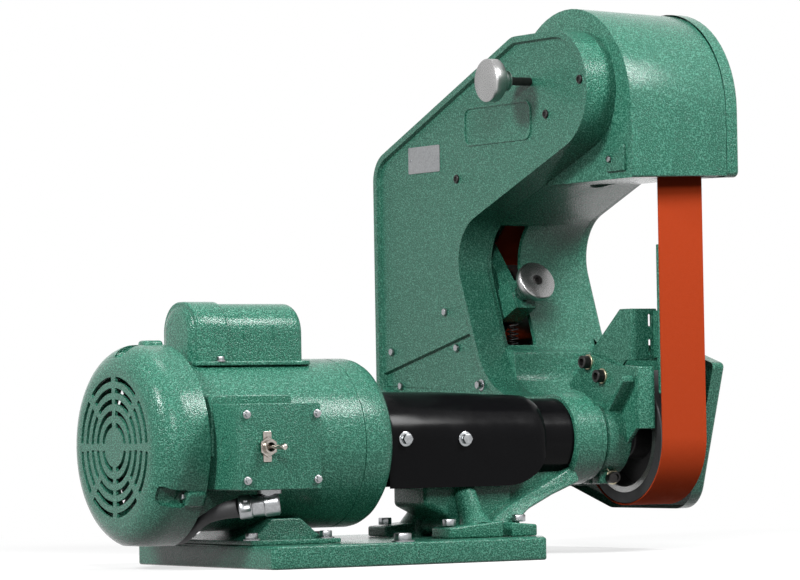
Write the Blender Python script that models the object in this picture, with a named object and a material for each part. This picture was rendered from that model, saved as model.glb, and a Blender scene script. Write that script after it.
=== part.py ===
# Bench belt grinder: motor, coupling, C frame and a 2 x 48 inch belt.
# Sizes are millimetres; +X runs from the fan to the contact wheel, -Y is the front, +Z is up.
# The origin is on the bench face, under the motor axis.
import bpy
import bmesh
from math import atan2, ceil, cos, degrees, hypot, pi, radians, sin, sqrt, tan
from mathutils import Matrix, Vector

MM = 0.001

# Clearances
GAP = 0.3
SEAT = 0.2

# Base plate
BASE_LEFT = -143.0
BASE_RIGHT = 170.0
BASE_FRONT = -116.0
BASE_BACK = 138.0
BASE_THICK = 20.6
CLIP_LONG = 27.0
CLIP_WIDE = 44.0
HOLD_DOWN_INSET = 17.0
HOLD_DOWN_HOLE = 5.5

# Motor, a 56 frame
SHAFT_HEIGHT = 88.9
SHELL_RADIUS = 77.0
SHELL_WALL = 3.0
SHELL_LEFT = -188.0
SHELL_RIGHT = -23.0
SHAFT_RADIUS = 7.95
FOOT_BOLT_X = -134.3
FOOT_PITCH_X = 76.2
FOOT_PITCH_Y = 123.8
FAN_COVER_RADIUS = 91.0
FAN_COVER_WALL = 2.5
FAN_COVER_FACE = -238.0
FAN_COVER_FLAT = 21.5
SLOT_RADII = (20.0, 30.5, 40.5, 50.5, 60.5)
SLOT_WIDTH = 4.4
SPOKE_WIDTH = 6.0

# Terminal box and switch
BOX_LEFT = -184.0
BOX_RIGHT = -101.0
BOX_LOW = 70.5
BOX_HIGH = 146.0
BOX_FACE = -126.0
BOX_WALL = 2.5
PLATE_THICK = 2.4
SWITCH_X = -156.0
SWITCH_Z = 108.0
TOGGLE_SWING = 28.0

# Cord
CORD_RADIUS = 5.0
COIL_CENTRE = (24.0, 213.0)
COIL_RADIUS = 55.0
COIL_PITCH = 10.6
COIL_TURNS = 5.0
COIL_REST = 6.4
TAIL_LENGTH = 60.0
TAIL_DROP = 2.5

# Spindle line
SPINDLE_RADIUS = 10.0
TUBE_RADIUS = 33.0
TUBE_LEFT = 116.0
TUBE_RIGHT = 299.0
NOSE_RADIUS = 26.0
RING_LEFT = 229.0
RING_RIGHT = 259.0
RING_RADIUS = 40.0
BEARING_WIDTH = 14.0
BEARING_RADIUS = 20.0
HUB_RADIUS = 28.0

# Belt and wheels
BELT_LENGTH = 1219.2
BELT_WIDTH = 50.8
BELT_THICK = 1.2
BELT_LEFT = 311.1
CONTACT_RADIUS = 63.5
TOP_RADIUS = 50.8
IDLER_RADIUS = 38.1
TOP_Y = -12.2
TOP_Z = 437.0
IDLER_Z = 245.0
AXLE_RADIUS = 8.0

# C frame
ARM_LEFT = 232.0
ARM_RIGHT = 265.0
ARM_RIM = 7.0
ARM_PANEL = 4.0
KEEL_HALF = 33.0
HOUSING_RIGHT = 377.0
HOUSING_WALL = 5.0
HOUSING_DRAFT = 3.5
HOUSING_WEB = 4.0
DOOR_RIGHT = 392.0
DOOR_SKIN = 2.5
HINGE_X = 386.0
HINGE_Y = 327.0
LATCH_Y = 60.0
LATCH_Z = 375.0

# Tension arm, tracking and platen
PIVOT_Y = 215.0
PIVOT_Z = 300.0
PIVOT_RADIUS = 5.0
CRANK_LEFT = 279.0
CRANK_RIGHT = 295.0
SPRING_WIRE = 0.9
SPRING_RADIUS = 5.0
BLOCK_Y = 150.0
BLOCK_Z = 243.0
KNOB_TILT = 25.0
TRACK_Y = 37.0
TRACK_Z = 450.0
TRACK_KNOB_X = 185.0
TRACK_PIN_X = 279.0
TRACK_PIN_RADIUS = 4.0
CLAMP_LEFT = 270.0
CLAMP_RIGHT = 297.0
CLAMP_RADIUS = 36.0
PLATEN_TOP = 291.0
PLATEN_BOTTOM = 150.0

AXIS_Z = BASE_THICK + SHAFT_HEIGHT
BELT_RIGHT = BELT_LEFT + BELT_WIDTH
BELT_MIDDLE = (BELT_LEFT + BELT_RIGHT) / 2


def clear_scene():
    for item in list(bpy.data.objects):
        bpy.data.objects.remove(item, do_unlink=True)


def finish(name, colour, rough, metal):
    material = bpy.data.materials.new(name)
    material.use_nodes = True
    shader = material.node_tree.nodes["Principled BSDF"]
    shader.inputs["Base Color"].default_value = (*colour, 1.0)
    shader.inputs["Roughness"].default_value = rough
    shader.inputs["Metallic"].default_value = metal
    return material


# Outlines
def rounded(corners, step=18.0):
    """Turn corners (u, v, radius) into an outline with round corners."""
    outline = []
    for index, (u, v, radius) in enumerate(corners):
        here = Vector((u, v))
        back = Vector(corners[index - 1][:2]) - here
        ahead = Vector(corners[(index + 1) % len(corners)][:2]) - here
        if radius <= 0.0:
            outline.append(here)
            continue
        back.normalize()
        ahead.normalize()
        half = back.angle(ahead) / 2
        centre = here + (back + ahead).normalized() * (radius / sin(half))
        start = here + back * (radius / tan(half)) - centre
        end = here + ahead * (radius / tan(half)) - centre
        first = atan2(start.y, start.x)
        sweep = (atan2(end.y, end.x) - first + pi) % (2 * pi) - pi
        steps = max(1, ceil(abs(degrees(sweep)) / step))
        for turn in range(steps + 1):
            angle = first + sweep * turn / steps
            outline.append(centre + radius * Vector((cos(angle), sin(angle))))
    kept = [p for i, p in enumerate(outline) if (p - outline[i - 1]).length > 0.02]
    return [(p.x, p.y) for p in kept]


def inset(corners, distance):
    """Move every edge of a corner list inwards; round corners keep their centres."""
    count = len(corners)
    area = 0.0
    for index in range(count):
        area += corners[index - 1][0] * corners[index][1] - corners[index][0] * corners[index - 1][1]
    side = 1.0 if area > 0 else -1.0
    moved = []
    for index, (u, v, radius) in enumerate(corners):
        here = Vector((u, v))
        into = (here - Vector(corners[index - 1][:2])).normalized()
        out = (Vector(corners[(index + 1) % count][:2]) - here).normalized()
        first = Vector((-into.y, into.x)) * side
        second = Vector((-out.y, out.x)) * side
        shift = (first + second) * (distance / (1 + first.dot(second)))
        convex = (into.x * out.y - into.y * out.x) * side > 0
        new_radius = radius - distance if convex else radius + distance
        moved.append((u + shift.x, v + shift.y, max(new_radius, 0.5)))
    return moved


def circle(u, v, radius, steps=24):
    turns = [2 * pi * k / steps for k in range(steps)]
    return [(u + radius * cos(turn), v + radius * sin(turn)) for turn in turns]


# Solids
def settle(solid):
    bmesh.ops.remove_doubles(solid, verts=solid.verts, dist=0.001)
    bmesh.ops.recalc_face_normals(solid, faces=solid.faces)
    return solid


def prism(outline, low, high, axis="X"):
    """Extrude an outline: (y, z) along X, (x, z) along Y or (x, y) along Z."""
    order = {"X": (2, 0, 1), "Y": (0, 2, 1), "Z": (0, 1, 2)}[axis]
    solid = bmesh.new()
    corners = []
    for u, v in outline:
        triple = (u, v, low)
        corners.append(solid.verts.new([triple[k] for k in order]))
    grown = bmesh.ops.extrude_face_region(solid, geom=[solid.faces.new(corners)])
    raised = [item for item in grown["geom"] if isinstance(item, bmesh.types.BMVert)]
    step = (0.0, 0.0, high - low)
    bmesh.ops.translate(solid, verts=raised, vec=[step[k] for k in order])
    return settle(solid)


def lofted(corners, stations, step=15.0):
    """Join outlines of one corner list, each at an x and moved inwards by a distance."""
    solid = bmesh.new()
    loops = []
    for x, distance in stations:
        outline = rounded(inset(corners, distance), step)
        loops.append([solid.verts.new((x, y, z)) for y, z in outline])
    for first, second in zip(loops, loops[1:]):
        for k in range(len(first)):
            solid.faces.new((first[k - 1], first[k], second[k], second[k - 1]))
    solid.faces.new(loops[0])
    solid.faces.new(loops[-1])
    return settle(solid)


def block(x, y, z, bevel=0.0, segments=2):
    """A box between three (low, high) pairs, with all edges rounded when asked."""
    outline = [(x[0], y[0]), (x[1], y[0]), (x[1], y[1]), (x[0], y[1])]
    solid = prism(outline, z[0], z[1], "Z")
    if bevel > 0.0:
        bmesh.ops.bevel(
            solid, geom=solid.edges[:], offset=bevel, segments=segments, profile=0.5, affect="EDGES"
        )
        settle(solid)
    return solid


def turned(profile, steps=32):
    """Spin a profile of (x, radius) about the X axis; an open profile starts and ends on the axis."""
    solid = bmesh.new()
    points = [solid.verts.new((x, 0.0, radius)) for x, radius in profile]
    edges = [solid.edges.new(pair) for pair in zip(points, points[1:])]
    if profile[0][1] > 0.0:
        edges.append(solid.edges.new((points[-1], points[0])))
    bmesh.ops.spin(
        solid,
        geom=points + edges,
        axis=(1.0, 0.0, 0.0),
        cent=(0.0, 0.0, 0.0),
        dvec=(0.0, 0.0, 0.0),
        angle=2 * pi,
        steps=steps,
        use_merge=True,
    )
    settle(solid)
    hubs = []
    for vert in solid.verts:
        flat = all(face.normal.dot(vert.link_faces[0].normal) > 0.9999 for face in vert.link_faces)
        if flat and hypot(vert.co.y, vert.co.z) < 0.001:
            hubs.append(vert)
    bmesh.ops.dissolve_verts(solid, verts=hubs)
    return solid


def ring(left, right, inner, outer, steps=32):
    return turned([(left, inner), (left, outer), (right, outer), (right, inner)], steps)


def rod(left, right, radius, steps=24):
    return turned([(left, 0.0), (left, radius), (right, radius), (right, 0.0)], steps)


def put(solid, matrix):
    bmesh.ops.transform(solid, matrix=matrix, verts=solid.verts)
    return solid


def on_axis(solid, y=0.0, z=None):
    """Move a turned solid from the X axis to the line through (y, z)."""
    return put(solid, Matrix.Translation((0.0, y, AXIS_Z if z is None else z)))


def along(solid, start, direction):
    """Point a turned solid's X axis along a direction, with its x = 0 at the start."""
    turn = Vector((1.0, 0.0, 0.0)).rotation_difference(Vector(direction).normalized())
    return put(solid, Matrix.Translation(start) @ turn.to_matrix().to_4x4())


def merged(solids):
    """Gather solids that stand clear of each other in one mesh, to cut with."""
    whole = bmesh.new()
    for solid in solids:
        mesh = bpy.data.meshes.new("gather")
        solid.to_mesh(mesh)
        solid.free()
        whole.from_mesh(mesh)
        bpy.data.meshes.remove(mesh)
    return whole


def loose(solid):
    mesh = bpy.data.meshes.new("working")
    solid.to_mesh(mesh)
    solid.free()
    item = bpy.data.objects.new("working", mesh)
    bpy.context.scene.collection.objects.link(item)
    return item


def combine(solid, tools, operation):
    """Unite tools with a solid, or take them from it, by exact Booleans."""
    body = loose(solid)
    cutters = [loose(tool) for tool in tools]
    for cutter in cutters:
        modifier = body.modifiers.new(operation, "BOOLEAN")
        modifier.solver = "EXACT"
        modifier.operation = operation
        modifier.object = cutter
    view = bpy.context.evaluated_depsgraph_get()
    mesh = bpy.data.meshes.new_from_object(body.evaluated_get(view))
    result = bmesh.new()
    result.from_mesh(mesh)
    bpy.data.meshes.remove(mesh)
    for item in [body, *cutters]:
        leftover = item.data
        bpy.data.objects.remove(item, do_unlink=True)
        bpy.data.meshes.remove(leftover)
    bmesh.ops.dissolve_degenerate(result, dist=0.0005, edges=result.edges)
    bmesh.ops.remove_doubles(result, verts=result.verts, dist=0.0005)
    bmesh.ops.holes_fill(result, edges=[edge for edge in result.edges if edge.is_boundary], sides=4)
    return result


def unite(solid, *tools):
    return combine(solid, tools, "UNION")


def cut(solid, *tools):
    return combine(solid, tools, "DIFFERENCE")


# Nodes
def place(name, data, at, parent):
    item = bpy.data.objects.new(name, data)
    bpy.context.scene.collection.objects.link(item)
    item["at"] = at
    if parent is None:
        item.location = Vector(at) * MM
    else:
        item.parent = parent
        item.location = (Vector(at) - Vector(parent["at"])) * MM
    return item


def node(name, solid, material, at=(0.0, 0.0, 0.0), parent=None, smooth=35.0):
    bmesh.ops.translate(solid, verts=solid.verts, vec=[-value for value in at])
    bmesh.ops.scale(solid, verts=solid.verts, vec=(MM, MM, MM))
    bmesh.ops.recalc_face_normals(solid, faces=solid.faces)
    mesh = bpy.data.meshes.new(name)
    solid.to_mesh(mesh)
    solid.free()
    mesh.shade_smooth()
    mesh.set_sharp_from_angle(angle=radians(smooth))
    mesh.materials.append(material)
    return place(name, mesh, at, parent)


def tube(name, points, radius, sides, material):
    """A round tube along points, for a cord or a wire."""
    curve = bpy.data.curves.new(name, "CURVE")
    curve.dimensions = "3D"
    curve.bevel_depth = radius * MM
    curve.bevel_resolution = sides
    curve.use_fill_caps = True
    spline = curve.splines.new("POLY")
    spline.points.add(len(points) - 1)
    for knot, point in zip(spline.points, points):
        knot.co = (point[0] * MM, point[1] * MM, point[2] * MM, 1.0)
    curve.materials.append(material)
    return place(name, curve, (0.0, 0.0, 0.0), None)


def least_gap(points, radius, near):
    """The least space between strands of a wound tube, leaving out neighbours along it."""
    least = 1000.0
    for index, first in enumerate(points):
        for second in points[index + near:]:
            least = min(least, (Vector(first) - Vector(second)).length - 2 * radius)
    return least


def smooth_path(knots, spacing):
    """Points of a smooth curve through knots, about a spacing apart."""
    points = []
    padded = [2 * Vector(knots[0]) - Vector(knots[1])]
    padded += [Vector(knot) for knot in knots]
    padded.append(2 * padded[-1] - padded[-2])
    for before, start, end, after in zip(padded, padded[1:], padded[2:], padded[3:]):
        steps = max(1, round((end - start).length / spacing))
        for step in range(steps):
            t = step / steps
            lead = (end - before) / 2
            lag = (after - start) / 2
            bend = start * (2 * t**3 - 3 * t**2 + 1) + lead * (t**3 - 2 * t**2 + t)
            points.append(bend + end * (3 * t**2 - 2 * t**3) + lag * (t**3 - t**2))
    points.append(padded[-2])
    return points


# The belt's path round the contact wheel, idler and top wheel
def belt_spans(wheels):
    """Outward normals of the straight runs, and the loop's length, for wheels (y, z, radius)."""
    normals = []
    length = 0.0
    for index, (y, z, radius) in enumerate(wheels):
        next_y, next_z, next_radius = wheels[(index + 1) % len(wheels)]
        distance = hypot(next_y - y, next_z - z)
        ahead = Vector((next_y - y, next_z - z)) / distance
        lean = (radius - next_radius) / distance
        level = sqrt(1 - lean * lean)
        normals.append(ahead * lean + Vector((ahead.y, -ahead.x)) * level)
        length += distance * level
    for index, (y, z, radius) in enumerate(wheels):
        last = atan2(normals[index].y, normals[index].x)
        first = atan2(normals[index - 1].y, normals[index - 1].x)
        length += radius * ((last - first) % (2 * pi))
    return normals, length


def wheel_set(idler_y):
    contact = (0.0, AXIS_Z, CONTACT_RADIUS)
    idler = (idler_y, IDLER_Z, IDLER_RADIUS)
    top = (TOP_Y, TOP_Z, TOP_RADIUS)
    return [contact, idler, top]


def idler_place():
    """The idler's y that makes the loop as long as the belt."""
    near = 120.0
    far = 320.0
    for _ in range(60):
        middle = (near + far) / 2
        if belt_spans(wheel_set(middle))[1] < BELT_LENGTH:
            near = middle
        else:
            far = middle
    return near


def belt_outline(offset, step=10.0):
    wheels = wheel_set(IDLER_Y)
    normals = belt_spans(wheels)[0]
    outline = []
    for index, (y, z, radius) in enumerate(wheels):
        first = atan2(normals[index - 1].y, normals[index - 1].x)
        sweep = (atan2(normals[index].y, normals[index].x) - first) % (2 * pi)
        steps = ceil(degrees(sweep) / step)
        for turn in range(steps + 1):
            angle = first + sweep * turn / steps
            reach = radius + offset
            outline.append((y + reach * cos(angle), z + reach * sin(angle)))
    return outline


clear_scene()
IDLER_Y = idler_place()

GREEN = finish("hammered green paint", (0.05, 0.20, 0.11), 0.3, 0.0)
BLACK = finish("satin black paint", (0.015, 0.015, 0.016), 0.4, 0.0)
STEEL = finish("machined steel", (0.56, 0.57, 0.58), 0.35, 1.0)
ALUMINIUM = finish("turned aluminium", (0.78, 0.78, 0.77), 0.3, 1.0)
RUBBER = finish("black rubber", (0.02, 0.02, 0.02), 0.7, 0.0)
ABRASIVE = finish("orange abrasive cloth", (0.62, 0.16, 0.06), 0.9, 0.0)
LAMINATE = finish("silicon steel laminations", (0.30, 0.30, 0.31), 0.5, 1.0)
PLASTIC = finish("black plastic", (0.03, 0.03, 0.032), 0.5, 0.0)
NICKEL = finish("bright nickel plate", (0.72, 0.70, 0.66), 0.2, 1.0)
URETHANE = finish("red urethane", (0.45, 0.05, 0.04), 0.6, 0.0)

# Base plate with a clipped corner under the contact wheel
base_corners = [
    (BASE_LEFT, BASE_FRONT, 7.0),
    (BASE_RIGHT - CLIP_LONG, BASE_FRONT, 3.0),
    (BASE_RIGHT, BASE_FRONT + CLIP_WIDE, 3.0),
    (BASE_RIGHT, BASE_BACK, 7.0),
    (BASE_LEFT, BASE_BACK, 7.0),
]
base = prism(rounded(base_corners, 30.0), 0.0, BASE_THICK, "Z")
hold_down = [
    prism(circle(0.0, BASE_FRONT + HOLD_DOWN_INSET, HOLD_DOWN_HOLE, 20), -5.0, BASE_THICK + 5.0, "Z"),
    prism(circle(0.0, BASE_BACK - HOLD_DOWN_INSET, HOLD_DOWN_HOLE, 20), -5.0, BASE_THICK + 5.0, "Z"),
]
node("base_plate", cut(base, merged(hold_down)), GREEN)

# Motor foot: a bolted plate with a saddle
foot_low = BASE_THICK + SEAT
foot_high = foot_low + 4.2
foot_left = FOOT_BOLT_X - 7.6
foot_right = FOOT_BOLT_X + FOOT_PITCH_X + 9.0
foot_half = FOOT_PITCH_Y / 2 + 14
foot = block((foot_left, foot_right), (-foot_half, foot_half), (foot_low, foot_high))
saddle_outline = [(-121.0, foot_high - 2), (-110.0, 50.0), (-76.0, 50.0), (-64.0, foot_high - 2)]
saddle = prism(saddle_outline, -FOOT_PITCH_Y / 2, FOOT_PITCH_Y / 2, "Y")
foot_holes = []
for x in (FOOT_BOLT_X, FOOT_BOLT_X + FOOT_PITCH_X):
    for y in (-FOOT_PITCH_Y / 2, FOOT_PITCH_Y / 2):
        foot_holes.append(prism(circle(x, y, 4.5, 12), foot_low - 5, foot_high + 5, "Z"))
shell_space = on_axis(rod(SHELL_LEFT - 5, SHELL_RIGHT + 5, SHELL_RADIUS + GAP, 48))
foot = cut(unite(foot, saddle), shell_space, merged(foot_holes))
node("motor_foot", foot, GREEN)

# Motor shell and core
shell_inner = SHELL_RADIUS - SHELL_WALL
node("motor_shell", on_axis(ring(SHELL_LEFT, SHELL_RIGHT, shell_inner, SHELL_RADIUS, 40)), GREEN)
stator_inner = 44.0
node("stator_core", on_axis(ring(-150.0, -60.0, stator_inner, shell_inner - GAP, 20)), LAMINATE)

# End bells with their bearings
seat_radius = 17.8
drive_bell = [
    (SHELL_RIGHT + GAP, SHELL_RADIUS),
    (SHELL_RIGHT + 20, SHELL_RADIUS),
    (SHELL_RIGHT + 28, SHELL_RADIUS - 4),
    (SHELL_RIGHT + 35, SHELL_RADIUS - 13),
    (SHELL_RIGHT + 40, SHELL_RADIUS - 34),
    (SHELL_RIGHT + 42, 26.0),
    (SHELL_RIGHT + 42, SHAFT_RADIUS + 1.5),
    (SHELL_RIGHT + 23.5, SHAFT_RADIUS + 1.5),
    (SHELL_RIGHT + 23.5, seat_radius),
    (SHELL_RIGHT + 9.5, seat_radius),
    (SHELL_RIGHT + 9.5, 23.0),
    (SHELL_RIGHT + 34, 27.0),
    (SHELL_RIGHT + 30, SHELL_RADIUS - 17),
    (SHELL_RIGHT + 22, SHELL_RADIUS - 8),
    (SHELL_RIGHT + GAP, SHELL_RADIUS - 6),
]
node("drive_end_bell", on_axis(turned(drive_bell, 26)), GREEN)
drive_race = ring(SHELL_RIGHT + 10, SHELL_RIGHT + 23, SHAFT_RADIUS + GAP, seat_radius - GAP, 14)
node("drive_motor_bearing", on_axis(drive_race), STEEL)

fan_bell = [
    (SHELL_LEFT - GAP, SHELL_RADIUS),
    (SHELL_LEFT - 8, SHELL_RADIUS),
    (SHELL_LEFT - 8, SHAFT_RADIUS + 1.0),
    (SHELL_LEFT - 4, SHAFT_RADIUS + 1.0),
    (SHELL_LEFT - 4, seat_radius),
    (SHELL_LEFT + 10, seat_radius),
    (SHELL_LEFT + 10, 23.0),
    (SHELL_LEFT - GAP, 23.0),
]
cover_inner = FAN_COVER_RADIUS - FAN_COVER_WALL
bell_lugs = []
for quarter in range(4):
    lug = block((SHELL_LEFT - 8, SHELL_LEFT - 2), (-8.0, 8.0), (SHELL_RADIUS - 8, cover_inner - 0.9))
    bell_lugs.append(on_axis(put(lug, Matrix.Rotation(radians(45 + 90 * quarter), 4, "X"))))
node("fan_end_bell", unite(on_axis(turned(fan_bell, 24)), *bell_lugs), GREEN)
fan_race = ring(SHELL_LEFT - 3.5, SHELL_LEFT + 9.5, SHAFT_RADIUS, seat_radius - GAP, 14)
node("fan_motor_bearing", on_axis(fan_race), STEEL)

# Fan cover: a dome with ringed slots and a flattened foot
skirt = SHELL_LEFT - 3.0
cover_profile = [
    (FAN_COVER_FACE, 0.0),
    (FAN_COVER_FACE, FAN_COVER_RADIUS - 25),
    (FAN_COVER_FACE + 3.5, FAN_COVER_RADIUS - 13),
    (FAN_COVER_FACE + 12, FAN_COVER_RADIUS - 4),
    (FAN_COVER_FACE + 24, FAN_COVER_RADIUS),
    (skirt, FAN_COVER_RADIUS),
    (skirt, cover_inner),
    (FAN_COVER_FACE + 24.5, cover_inner),
    (FAN_COVER_FACE + 13.2, cover_inner - 3.6),
    (FAN_COVER_FACE + 5.6, cover_inner - 12),
    (FAN_COVER_FACE + FAN_COVER_WALL, cover_inner - 23),
    (FAN_COVER_FACE + FAN_COVER_WALL, 0.0),
]
fan_cover = on_axis(turned(cover_profile, 34))
for vert in fan_cover.verts:
    outside = hypot(vert.co.y, vert.co.z - AXIS_Z) > cover_inner + 0.8
    vert.co.z = max(vert.co.z, FAN_COVER_FLAT if outside else FAN_COVER_FLAT + FAN_COVER_WALL)
slots = []
for order, radius in enumerate(SLOT_RADII):
    pieces = 4 if order < 2 else 8
    steps = 4 if order < 2 else 2
    spread = 2 * pi / pieces - SPOKE_WIDTH / radius
    for piece in range(pieces):
        middle = 2 * pi * (piece + 0.5) / pieces
        angles = [middle + spread * (step / steps - 0.5) for step in range(steps + 1)]
        high = radius + SLOT_WIDTH / 2
        low = radius - SLOT_WIDTH / 2
        outer = [(high * cos(a), high * sin(a)) for a in angles]
        inner = [(low * cos(a), low * sin(a)) for a in angles]
        slots.append(on_axis(prism(outer + inner[::-1], FAN_COVER_FACE - 4, FAN_COVER_FACE + 8)))
node("fan_cover", cut(fan_cover, merged(slots)), GREEN)

# Capacitor and its cover on top of the shell
cap_left = -168.0
cap_right = -58.0
cap_half = 30.0
cap_low = AXIS_Z + SHELL_RADIUS - 6.0
cap_top = cap_low + 56.0
cap_corners = [
    (-cap_half, cap_low, 0),
    (-cap_half, cap_top, 27),
    (cap_half, cap_top, 27),
    (cap_half, cap_low, 0),
]
cap_cover = prism(rounded(cap_corners, 15.0), cap_left, cap_right)
step_corners = inset(cap_corners, -2.0)
step_corners[0] = (-cap_half - 2, cap_low, 0)
step_corners[3] = (cap_half + 2, cap_low, 0)
cap_step = prism(rounded(step_corners, 15.0), cap_left - 1.5, cap_left + 30)
cap_flange = block((cap_left - 6, cap_right + 5), (-cap_half - 6, cap_half + 6), (cap_low, cap_low + 4))
cap_room = inset(cap_corners, 2.4)
cap_room[0] = (cap_room[0][0], cap_low - 20, 0)
cap_room[3] = (cap_room[3][0], cap_low - 20, 0)
cap_hollow = prism(rounded(cap_room, 15.0), cap_left + 2.4, cap_right - 2.4)
shell_space = on_axis(rod(SHELL_LEFT - 5, SHELL_RIGHT + 5, SHELL_RADIUS + GAP, 48))
cap_cover = cut(unite(cap_cover, cap_step, cap_flange), cap_hollow, shell_space)
node("capacitor_cover", cap_cover, GREEN)
capacitor = on_axis(rod(-158.0, -74.0, 20.0, 18), 0.0, AXIS_Z + SHELL_RADIUS + 21)
node("start_capacitor", capacitor, PLASTIC)

# Terminal box, open at the front, with the switch in its cover
box = block((BOX_LEFT, BOX_RIGHT), (BOX_FACE, -55.0), (BOX_LOW, BOX_HIGH))
room_x = (BOX_LEFT + BOX_WALL, BOX_RIGHT - BOX_WALL)
room_z = (BOX_LOW + BOX_WALL, BOX_HIGH - BOX_WALL)
box_room = block(room_x, (BOX_FACE - 5, -40.0), room_z)
nipple_x = -140.0
nipple_y = -104.0
nipple_hole = prism(circle(nipple_x, nipple_y, 9.0, 14), BOX_LOW - 5, BOX_LOW + 6, "Z")
shell_space = on_axis(rod(SHELL_LEFT - 5, SHELL_RIGHT + 5, SHELL_RADIUS + GAP, 48))
node("terminal_box", cut(box, shell_space, box_room, nipple_hole), GREEN)

plate_back = BOX_FACE - SEAT
plate_front = plate_back - PLATE_THICK
bush_radius = 6.0
plate = block((BOX_LEFT, BOX_RIGHT), (plate_front, plate_back), (BOX_LOW, BOX_HIGH), 0.8, 1)
bush_hole = prism(circle(SWITCH_X, SWITCH_Z, bush_radius + GAP, 24), plate_front - 5, plate_back + 5, "Y")
node("terminal_box_cover", cut(plate, bush_hole), GREEN)

toggle_y = plate_front - 3.0
bore_radius = 4.2
switch_x = (SWITCH_X - 12, SWITCH_X + 12)
switch_z = (SWITCH_Z - 14, SWITCH_Z + 14)
switch = block(switch_x, (plate_back + GAP, plate_back + 25), switch_z, 1.0, 1)
bush = along(rod(0.0, 16.0, bush_radius, 24), (SWITCH_X, plate_back + 6, SWITCH_Z), (0.0, -1.0, 0.0))
bore = along(rod(0.0, 20.0, bore_radius, 20), (SWITCH_X, toggle_y + 5, SWITCH_Z), (0.0, -1.0, 0.0))
node("switch_body", cut(unite(switch, bush), bore), NICKEL)
lever_profile = [
    (-3.4, 0.0),
    (-2.4, 2.4),
    (0.0, 3.4),
    (2.2, 2.6),
    (4.0, 1.7),
    (9.0, 1.9),
    (20.0, 3.1),
    (21.6, 2.4),
    (22.2, 0.0),
]
toggle = (SWITCH_X, toggle_y, SWITCH_Z)
lean = radians(TOGGLE_SWING / 2)
lever = along(turned(lever_profile, 12), toggle, (sin(lean), -cos(lean), 0.0))
node("toggle_lever", lever, NICKEL, at=toggle)

# Cord clamp under the box, cord, coil, tie and plug
mouth = Vector((-163.0, -90.0, 55.0))
elbow = Vector((nipple_x, nipple_y, 58.0))
heading = (mouth - elbow).normalized()
clamp_reach = (mouth - elbow).length
clamp_body = along(rod(-9.0, clamp_reach, 11.0, 18), elbow, heading)
nipple = along(rod(0.0, BOX_LOW + 7 - elbow.z, 8.4, 14), elbow, (0.0, 0.0, 1.0))
clamp_bore = along(rod(clamp_reach - 16, clamp_reach + 5, CORD_RADIUS + 2 * GAP, 14), elbow, heading)
box_floor = block((BOX_LEFT, BOX_RIGHT), (BOX_FACE, -70.0), (BOX_LOW - SEAT, BOX_LOW + BOX_WALL + SEAT))
floor_hole = prism(circle(nipple_x, nipple_y, 8.4, 14), BOX_LOW - 5, BOX_LOW + 6, "Z")
clamp_body = cut(clamp_body, clamp_bore, cut(box_floor, floor_hole))
node("cord_clamp", unite(clamp_body, nipple), STEEL)

base_rest = BASE_THICK + CORD_RADIUS + 0.8
coil_start = COIL_RADIUS + COIL_PITCH * (COIL_TURNS - 0.5) / 4
entry_y = COIL_CENTRE[1] + coil_start
bend_radius = 50.0
bend_angle = radians(56.4)
bend_x = COIL_CENTRE[0] - 20.4
cord_join = bend_x + 2.0
cord_knots = [
    mouth - heading * 14,
    mouth,
    (-174.0, -78.0, 51.5),
    (-181.0, -60.0, 44.5),
    (-182.0, -40.0, 35.5),
    (-179.0, -18.0, 28.2),
    (-172.0, 5.0, base_rest),
    (-163.0, 32.0, base_rest),
    (-155.0, 60.0, base_rest),
    (-148.0, 82.0, base_rest),
    (-139.5, 101.0, base_rest),
    (-129.0, 120.0, base_rest),
    (-117.5, BASE_BACK, base_rest),
]
edge_x, edge_y, edge_z = cord_knots[-1]
lead_x = bend_x - bend_radius * sin(bend_angle)
lead_y = entry_y - bend_radius * (1 - cos(bend_angle))
for step in range(1, 7):
    share = step / 6
    fall = min(1.0, step / 4)
    height = edge_z + (COIL_REST - edge_z) * fall * fall * (3 - 2 * fall)
    cord_knots.append((edge_x + (lead_x - edge_x) * share, edge_y + (lead_y - edge_y) * share, height))
for step in range(1, 5):
    angle = bend_angle * (1 - step / 4)
    bend_y = entry_y - bend_radius * (1 - cos(angle))
    cord_knots.append((bend_x - bend_radius * sin(angle), bend_y, COIL_REST))
cord_knots.append((cord_join, entry_y, COIL_REST))
cord_points = smooth_path(cord_knots, 13.0)
tube("power_cord", cord_points, CORD_RADIUS, 2, RUBBER)


def coil_point(turns):
    """A point of the coil: in along the floor, up in the half turn at the middle, out on top."""
    layer = (COIL_TURNS - 0.5) / 2
    inner = coil_start - COIL_PITCH * layer
    if turns < layer:
        radius = coil_start - COIL_PITCH * turns
        height = 0.0
    elif turns < layer + 0.5:
        share = (turns - layer) / 0.5
        radius = inner - 2.0 * sin(pi * share)
        height = COIL_PITCH * share * share * (3 - 2 * share)
    else:
        radius = inner + COIL_PITCH * (turns - layer - 0.5)
        height = COIL_PITCH
    angle = pi / 2 - 2 * pi * turns
    x = COIL_CENTRE[0] + radius * cos(angle)
    y = COIL_CENTRE[1] + radius * sin(angle)
    return Vector((x, y, COIL_REST + height))


coil_points = [coil_point(step / 24) for step in range(int(COIL_TURNS * 24) + 1)]
coil_points.insert(0, Vector((cord_join + 2 * GAP, entry_y, COIL_REST)))
tail_start = coil_points[-1]
tail_points = []
for step in range(1, 8):
    share = step / 7
    fall = max(0.0, (share - 0.45) / 0.55)
    drop = TAIL_DROP * fall * fall * (3 - 2 * fall)
    tail_points.append(tail_start + Vector((TAIL_LENGTH * share, 0.0, -drop)))
coil_points += tail_points
tube("power_cord_coil", coil_points, CORD_RADIUS, 1, RUBBER)
print("least gap in the coil", round(least_gap(coil_points, CORD_RADIUS, 12), 2))

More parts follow.
